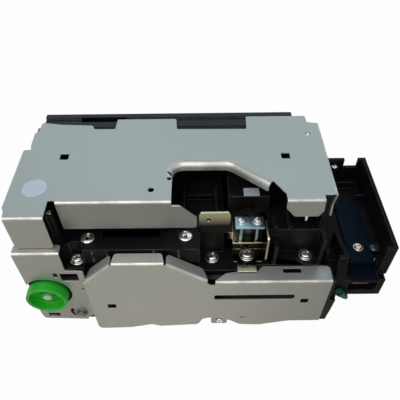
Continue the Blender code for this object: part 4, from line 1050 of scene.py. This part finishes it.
def make_screw_tree():
    tree = bpy.data.node_groups.new("screw_set", "GeometryNodeTree")
    found = tree_inputs(tree, {"Geometry": "NodeSocketGeometry", "Head": "NodeSocketObject",
                               "Radius": "NodeSocketFloat", "Facing": "NodeSocketRotation",
                               "Seed": "NodeSocketInt", "Finish": "NodeSocketMaterial"})
    given = put(tree, "NodeGroupInput")
    shape = put(tree, "GeometryNodeObjectInfo", {"Object": given.outputs["Head"]})
    placed = put(tree, "GeometryNodeInstanceOnPoints", {"Points": given.outputs["Geometry"],
                                                        "Instance": shape.outputs["Geometry"],
                                                        "Rotation": given.outputs["Facing"],
                                                        "Scale": given.outputs["Radius"]})
    spin = put(tree, "FunctionNodeRandomValue", {0: (0, 0, 0), 1: (0, 0, 2 * pi),
                                                 "Seed": given.outputs["Seed"]}, data_type="FLOAT_VECTOR")
    turned_set = put(tree, "GeometryNodeRotateInstances", {"Instances": placed.outputs[0],
                                                           "Rotation": spin.outputs[0]})
    ended(tree, given, turned_set.outputs[0])
    return tree, found


SCREW_TREE, SCREW_INPUTS = make_screw_tree()
FACING = {"up": (0, 0, 0), "front": (pi / 2, 0, 0), "back": (-pi / 2, 0, 0)}


def points_mesh(name, points):
    bm = bmesh.new()
    for point in points:
        bm.verts.new(Vector(point) * MM)
    return as_object(bm, name)


def grown(obj, tree, inputs, values):
    """Run a tree on an object, keep its mesh and drop the modifier."""
    modifier = obj.modifiers.new(tree.name, "NODES")
    modifier.node_group = tree
    for label, value in values.items():
        modifier[inputs[label]] = value
    return baked(obj)


def set_screws(name, seats, head, radius, facing, seed, slot, *replaced, finish_name=None):
    """Screws on seats given as (x, y, z) in millimetres."""
    screws = grown(points_mesh(name, seats), SCREW_TREE, SCREW_INPUTS, {
        "Head": HEADS[head], "Radius": radius, "Facing": FACING[facing], "Seed": seed,
        "Finish": FINISHES[finish_name or slot]})
    return settle(screws, slot, "chassis", *replaced, finish_name=finish_name)


DECK = 75.5
LEDGE = 64.5
BAY = 55.0
YOKE_FOOT = 56.8
BAY_SCREW = (2.8, -27.3)
YOKE_SCREW = (23.8, -27.0)
DECK_SCREW = (-12.5, -27.2)
deck_screws = set_screws("deck_screws", [(-68.4, -28.0, DECK + 0.1), (*DECK_SCREW, DECK + 0.1)],
                         "pan", 4.0, "up", 3, "steel", "ledge_screw_1", "ledge_screw_2")
low_screws = set_screws("low_screws", [(-75.5, -34.4, LEDGE + 0.1), (*BAY_SCREW, BAY + 0.1),
                                       (59.0, -27.3, BAY + 1.6)], "washer", 2.9, "up", 8, "steel",
                        "ledge_screw_3", "ledge_screw_4", "ledge_screw_5")
yoke_screw = set_screws("yoke_foot_screw", [(*YOKE_SCREW, YOKE_FOOT + 0.1)], "washer", 3.2,
                        "up", 5, "steel", "yoke_screw")
set_screws("coil_plate_screws", [(19.3, -23.4, 84.0), (28.4, -23.2, 84.0)], "washer", 2.0,
           "up", 11, "steel", "solenoid_screw_1", "solenoid_screw_2")
set_screws("knob_plate_screw", [(PLATE_SCREW[0], PLATE_FACE - 0.1, PLATE_SCREW[1])], "washer", 2.8,
           "front", 2, "steel", "plate_screw", finish_name="dull_shaded_steel")
set_screws("mouth_screws", [(92.4, -21.5, 56.1), (79.5, 34.5, 56.1)], "washer", 2.1, "up", 6, "copper",
           "mouth_screw_1", "mouth_screw_2", finish_name="rose_plate")
CORNER = (86.9, 36.3)
set_screws("corner_screw", [(*CORNER, 69.6)], "pan", 2.1, "up", 10, "copper", finish_name="rose_plate")
set_screws("boss_screw", [(-85.6, -27.0, 97.4)], "pan", 1.5, "up", 4, "steel")
set_screws("cover_screw", [(61.5, 26.6, 105.5)], "pan", 1.2, "up", 7, "steel")
set_screws("rear_cover_screws", [(x, 48.7, z) for x in (-94, 47.5) for z in (9, 99)], "pan", 2.6,
           "back", 9, "steel")
print("sets of screws: 10")

# %% [markdown]
# Fitters lock screws with a dab of red paint. The dab is a skin over part of a head: the faces in
# a sector round the screw's middle are copied, and a thin wall lifts them off the metal.

# %% Lock paint
def paint_mark(name, screws, middle, start, end, reach):
    """Copy the faces of a screw that lie in a sector, in degrees, as a thin skin."""
    bm = bmesh.new()
    bm.from_mesh(screws.data)
    away = []
    for face in bm.faces:
        spot = face.calc_center_median() / MM - Vector(middle)
        turn = Vector((1, 0)).angle_signed(Vector((spot.x, spot.y))) if spot.xy.length > 1e-6 else 0.0
        angle = (-turn * 180 / pi) % 360
        inside = spot.xy.length < reach and spot.z > 0.6 and start <= angle <= end
        if not inside:
            away.append(face)
    bmesh.ops.delete(bm, geom=away, context="FACES")
    skin = as_object(bm, name)
    lift = skin.modifiers.new("skin", "SOLIDIFY")
    lift.thickness = 0.09 * MM
    lift.offset = 1
    baked(skin)
    return settle(skin, "copper", "chassis", finish_name="red_paint")


paint_mark("paint_deck", deck_screws, (*DECK_SCREW, DECK), 245, 290, 2.9)
paint_mark("paint_low", low_screws, (*BAY_SCREW, BAY), 185, 235, 2.5)
paint_mark("paint_yoke", yoke_screw, (*YOKE_SCREW, YOKE_FOOT), 310, 350, 2.2)
print("paint marks: 3")

# %% [markdown]
# The solenoid pulls the chip contacts down onto a card. Its yoke is folded from yellow plated
# strip, so its tab and ear have rounded corners. It is painted dark where it lies in shade and where
# it would reflect the black mouldings round it. The coil is a black bobbin with a real helix of
# wire, which Geometry Nodes winds from a spiral curve.

# %% Solenoid
YOKE_LOW = 70.8
COIL_MIDDLE = (24.0, -17.6)


def rounded_outline(points, radius):
    return [(point.x, point.y) for point, _ in filleted([(*point, radius, None) for point in points])]


def yoke_shade(point):
    """How dark the yoke is painted, as shade and as reflection of dark parts: fully under the plate and on
    the ear's inner side, fading up the tab.
    """
    if point.y < -32.0 and point.x < 32.0:
        return 0.0
    if point.x > 32.5:
        return 1.0 if point.x < 33.1 else 0.0
    if point.x < 13.2:
        return (91.0 - point.z) / 7.0
    return 1.0 if point.z < YOKE_LOW - 0.1 else 0.0


def make_yoke():
    plate = prism("Z", rounded_box((14.3, 34.2), (-29.2, -10.5), 0.8), YOKE_LOW, YOKE_LOW + 1.2,
                  "yoke_folded")
    leg = prism("Z", rounded_box((15.2, 33.0), (-22.2, -21.0), 0.1), YOKE_FOOT - 1.2, YOKE_LOW + 0.6)
    foot = prism("Z", rounded_box((15.2, 33.0), (-31.6, -21.6), 1.6), YOKE_FOOT - 1.2, YOKE_FOOT)
    tongue_side = [(-31.2, YOKE_FOOT - 1.1), (-31.2, YOKE_FOOT), (-34.8, YOKE_FOOT),
                   (-38.2, YOKE_FOOT - 0.7), (-38.2, YOKE_FOOT - 1.4), (-34.8, YOKE_FOOT - 1.1)]
    tongue = prism("X", tongue_side, 17.6, 29.0)
    ear = prism("X", rounded_outline([(-20.3, 63.1), (-35.8, 63.1), (-35.8, 83.6), (-20.3, 83.6)], 2.2),
                33.0, 34.2)
    tab = prism("Y", rounded_outline([(-4.8, 76), (12.9, 76), (12.9, 94), (-4.8, 94)], 2.4), -25.4, -24.2)
    web = prism("X", rounded_outline([(-25.0, 74), (-12, 74), (-12, 80), (-25.0, 84)], 1.5), 11.7, 12.9)
    bridge = prism("Z", rounded_box((11.7, 15), (-25.4, -12), 0.3), YOKE_LOW, 76.5)
    yoke = fused(plate, leg, foot, tongue, ear, tab, web, bridge)
    holes = [prism("Z", circle(COIL_MIDDLE, 2.6), 60, 75), prism("Z", circle(YOKE_SCREW, 2.0), 50, 60),
             prism("Y", circle((0.6, 88.0), 1.2, 24), -30, -20)]
    yoke = round_edges(to_metres(cut(yoke, *holes)), 0.22, above=50)
    # Painted shade and painted reflection of the dark parts round the yoke.
    mark_painted_shade(yoke.data, yoke_shade)
    return settle(yoke, "yellow_zinc", "chassis", "solenoid_yoke")


def make_winding_tree():
    tree = bpy.data.node_groups.new("winding", "GeometryNodeTree")
    found = tree_inputs(tree, {"Geometry": "NodeSocketGeometry", "Turns": "NodeSocketFloat",
                               "Coil Radius": "NodeSocketFloat", "Height": "NodeSocketFloat",
                               "Wire Radius": "NodeSocketFloat", "Place": "NodeSocketVector",
                               "Finish": "NodeSocketMaterial"})
    given = put(tree, "NodeGroupInput")
    helix = put(tree, "GeometryNodeCurveSpiral", {"Resolution": 36, "Rotations": given.outputs["Turns"],
                                                  "Start Radius": given.outputs["Coil Radius"],
                                                  "End Radius": given.outputs["Coil Radius"],
                                                  "Height": given.outputs["Height"]})
    wire = put(tree, "GeometryNodeCurvePrimitiveCircle", {"Resolution": 8,
                                                          "Radius": given.outputs["Wire Radius"]})
    coil = put(tree, "GeometryNodeCurveToMesh", {"Curve": helix.outputs[0],
                                                 "Profile Curve": wire.outputs[0], "Fill Caps": True})
    moved = put(tree, "GeometryNodeTransform", {"Geometry": coil.outputs[0],
                                                "Translation": given.outputs["Place"]})
    ended(tree, given, moved.outputs[0])
    return tree, found


def make_coil():
    profile = [(72.3, 2.5), (72.3, 6.4), (73.5, 6.4), (73.5, 5.5), (81.2, 5.5), (81.2, 6.4), (82.4, 6.4),
               (82.4, 2.5)]
    bobbin = turned("coil_bobbin", "Z", COIL_MIDDLE, profile, 56, 0.15)
    settle(bobbin, "black_plastic", "chassis", "solenoid_coil")
    tree, found = make_winding_tree()
    winding = grown(points_mesh("coil_winding", [(0, 0, 0)]), tree, found, {
        "Turns": 17.0, "Coil Radius": 5.7 * MM, "Height": 7.1 * MM, "Wire Radius": 0.21 * MM,
        "Place": Vector((*COIL_MIDDLE, 73.8)) * MM, "Finish": FINISHES["dark_lacquer"]})
    return settle(winding, "copper", "chassis", finish_name="dark_lacquer")


make_yoke()
winding = make_coil()
print("winding:", len(winding.data.polygons), "faces")

# %% [markdown]
# Small trim that the photograph shows: a plain round sticker on the cover, a plain label on the
# contact housing, the bracket and nut under the guard, a black web between the guard and the mouth,
# a pin under the right tab and a rubber ring behind the knob's hole, cut off at the plate's edge.

# %% Trim
def trim(obj, slot, width, finish_name=None):
    return settle(round_edges(to_metres(obj), width, above=50), slot, "chassis", finish_name=finish_name)


def fuse_trim(name, slot, width, *solids):
    whole = fused(solids[0], *solids[1:]) if len(solids) > 1 else solids[0]
    whole.name = name
    return trim(whole, slot, width)


trim(prism("Z", circle((-93.3, -17.3), 6.7, 72), COVER_TOP + 0.01, COVER_TOP + 0.13, "round_sticker"),
     "white_plastic", 0.03, "label_paper")
trim(prism("Z", rounded_box((21.4, 30.5), (-9.2, -2.8), 0.5), 90.01, 90.13, "housing_label"),
     "white_plastic", 0.03, "label_paper")
fuse_trim("guard_bracket", "zinc", 0.15, prism("Y", rounded_box((2.4, 12.8), (3.0, 20), 1.5), -43.2, -42.2),
          prism("Z", rounded_box((2.4, 12.8), (-42.8, -31.7), 0.3), 3.0, 4.0))
fuse_trim("cheek_web", "black_plastic", 0.2,
          prism("Y", [(75.7, 20), (78.6, 20), (79.6, 31), (79.6, 33.6), (75.7, 33.6)], -41.1, -36.0))
RING_OUTER = 14.6
RING_INNER = 10.2
RING_DEPTH = (-41.15, -40.6)
RING_LEFT = -106.8
ring = [(max(x, RING_LEFT), z) for x, z in circle(REAR_AXLE, RING_OUTER, 72)]
ring_hole = prism("Y", circle(REAR_AXLE, RING_INNER, 72), -43, -40)
trim(cut(prism("Y", ring, *RING_DEPTH, "knob_ring"), ring_hole), "rubber", 0.05)
set_screws("guard_bracket_nut", [(7.6, -43.2, 9.2)], "washer", 2.2, "front", 13, "steel")
tab_pin = turned("tab_pin", "Z", (54.0, -27.75), [(90.4, 0), (90.4, 0.9), (93.4, 0.9), (93.4, 0)], 24, 0.3)
settle(tab_pin, "steel", "chassis")
for head in HEADS.values():
    bpy.data.objects.remove(head)

# %% [markdown]
# The edge of the mouth's board carries a smoked lens in a black barrel over the card sensor and a
# tinned contact pin. A collar stands round a fixing hole, a boss with a screw stands in the far
# corner, and a copper strip lies along the front of the block below.

# %% Mouth details
MOUTH_FLOOR = 54.5
BOARD_TOP = 56.0


def mouth_turned(name, place, base, profile, slot, finish_name=None):
    heights = [(base + height, radius) for height, radius in profile]
    return settle(turned(name, "Z", place, heights, 48, 0.15), slot, "chassis", finish_name=finish_name)


LENS = (102.2, -22.0)
mouth_turned("sensor_lens", LENS, BOARD_TOP, [(0.1, 0), (0.1, 2.9), (0.7, 2.85), (1.3, 1.9), (1.5, 0)],
             "board", "clear_lens")
mouth_turned("sensor_barrel", LENS, BOARD_TOP, [(0.05, 3.0), (0.05, 3.4), (1.0, 3.4), (1.0, 3.0)],
             "black_plastic", "satin_black")
mouth_turned("fixing_collar", (103.1, 6.3), MOUTH_FLOOR, [(0.05, 1.6), (0.05, 2.4), (0.6, 2.3), (0.6, 1.6)],
             "black_plastic", "satin_black")
mouth_turned("contact_pin", (99.4, -31.5), BOARD_TOP, [(0.05, 0), (0.05, 0.45), (2.2, 0.4), (2.2, 0)],
             "steel", "solder")
trim(prism("Y", rounded_box((86.7, 95.7), (46.5, 47.5), 0.3), -41.2, -40.85, "front_strip"), "copper", 0.06,
     "enamelled_wire")
mouth_turned("corner_boss", CORNER, MOUTH_FLOOR, [(0.05, 0), (0.05, 2.3), (15, 2.2), (15, 0)],
             "black_plastic")
print("mouth details: 6")

# %% [markdown]
# Everything that is left is a smaller moving or fixed piece whose solid has the right form. Each
# gets a rounded copy in the finish that the record names for it.

# %% Remaining pieces
SMALL = {
    "zinc": ["base_plate", "head_bracket"],
    "steel": ["motor", "pinch_spring", "shutter_gate", "magnetic_head",
              "contact_plunger", "rear_pinch_roller", "middle_pinch_roller", "front_pinch_roller"],
    "brass": ["front_bearing_rail", "rear_bearing_rail", "motor_pinion", "chip_contacts"],
    "grey_plastic": ["contact_carriage", "card_sensor_lever", "rear_pinch_carrier",
                     "middle_pinch_carrier", "front_pinch_carrier"],
    "white_plastic": ["drive_gear", "board_connectors"],
    "board": ["main_board", "mouth_board"],
    "rubber": ["drive_belt"],
}
for slot, names in SMALL.items():
    for node in names:
        dress(node, slot, 0.12)
dress("solenoid_top_plate", "steel", 0.15, "blue_steel")
settle(round_edges(copy_of("release_lever"), 0.3), "green_plastic", "lever", "release_lever",
       finish_name="lever_green")
print("small pieces:", 2 + sum(len(names) for names in SMALL.values()))

# %% [markdown]
# The three connectors at the back hold two rows of square pins each. A tree sets one row along X
# and repeats the row on every point it is given, so a wider connector only needs a higher count.

# %% Connector pins
def make_pin_tree():
    tree = bpy.data.node_groups.new("pin_rows", "GeometryNodeTree")
    found = tree_inputs(tree, {"Geometry": "NodeSocketGeometry", "Count": "NodeSocketInt",
                               "Pitch": "NodeSocketVector", "Size": "NodeSocketVector",
                               "Finish": "NodeSocketMaterial"})
    given = put(tree, "NodeGroupInput")
    row = put(tree, "GeometryNodeMeshLine", {"Count": given.outputs["Count"],
                                             "Offset": given.outputs["Pitch"]})
    pin = put(tree, "GeometryNodeMeshCube", {"Size": given.outputs["Size"]})
    pins = put(tree, "GeometryNodeInstanceOnPoints", {"Points": row.outputs[0], "Instance": pin.outputs[0]})
    rows = put(tree, "GeometryNodeInstanceOnPoints", {"Points": given.outputs["Geometry"],
                                                      "Instance": pins.outputs[0]})
    ended(tree, given, rows.outputs[0])
    return tree, found


SOCKET_FLOOR = 42.25
PIN = (0.64, 4.6, 0.64)
PIN_PITCH = 2.54
PIN_TREE, PIN_INPUTS = make_pin_tree()
pin_count = 0
for connector, (middle, count) in {"left": (-68, 11), "middle": (-32, 6), "right": (10, 11)}.items():
    first = middle - PIN_PITCH * (count - 1) / 2
    starts = [(first, SOCKET_FLOOR + PIN[1] / 2, 18 + side * PIN_PITCH / 2) for side in (-1, 1)]
    pins = grown(points_mesh(connector + "_pins", starts), PIN_TREE, PIN_INPUTS, {
        "Count": count, "Pitch": Vector((PIN_PITCH, 0, 0)) * MM, "Size": Vector(PIN) * MM,
        "Finish": FINISHES["solder"]})
    settle(round_edges(pins, 0.12), "steel", "chassis", finish_name="solder")
    pin_count += 2 * count
print("connector pins:", pin_count)
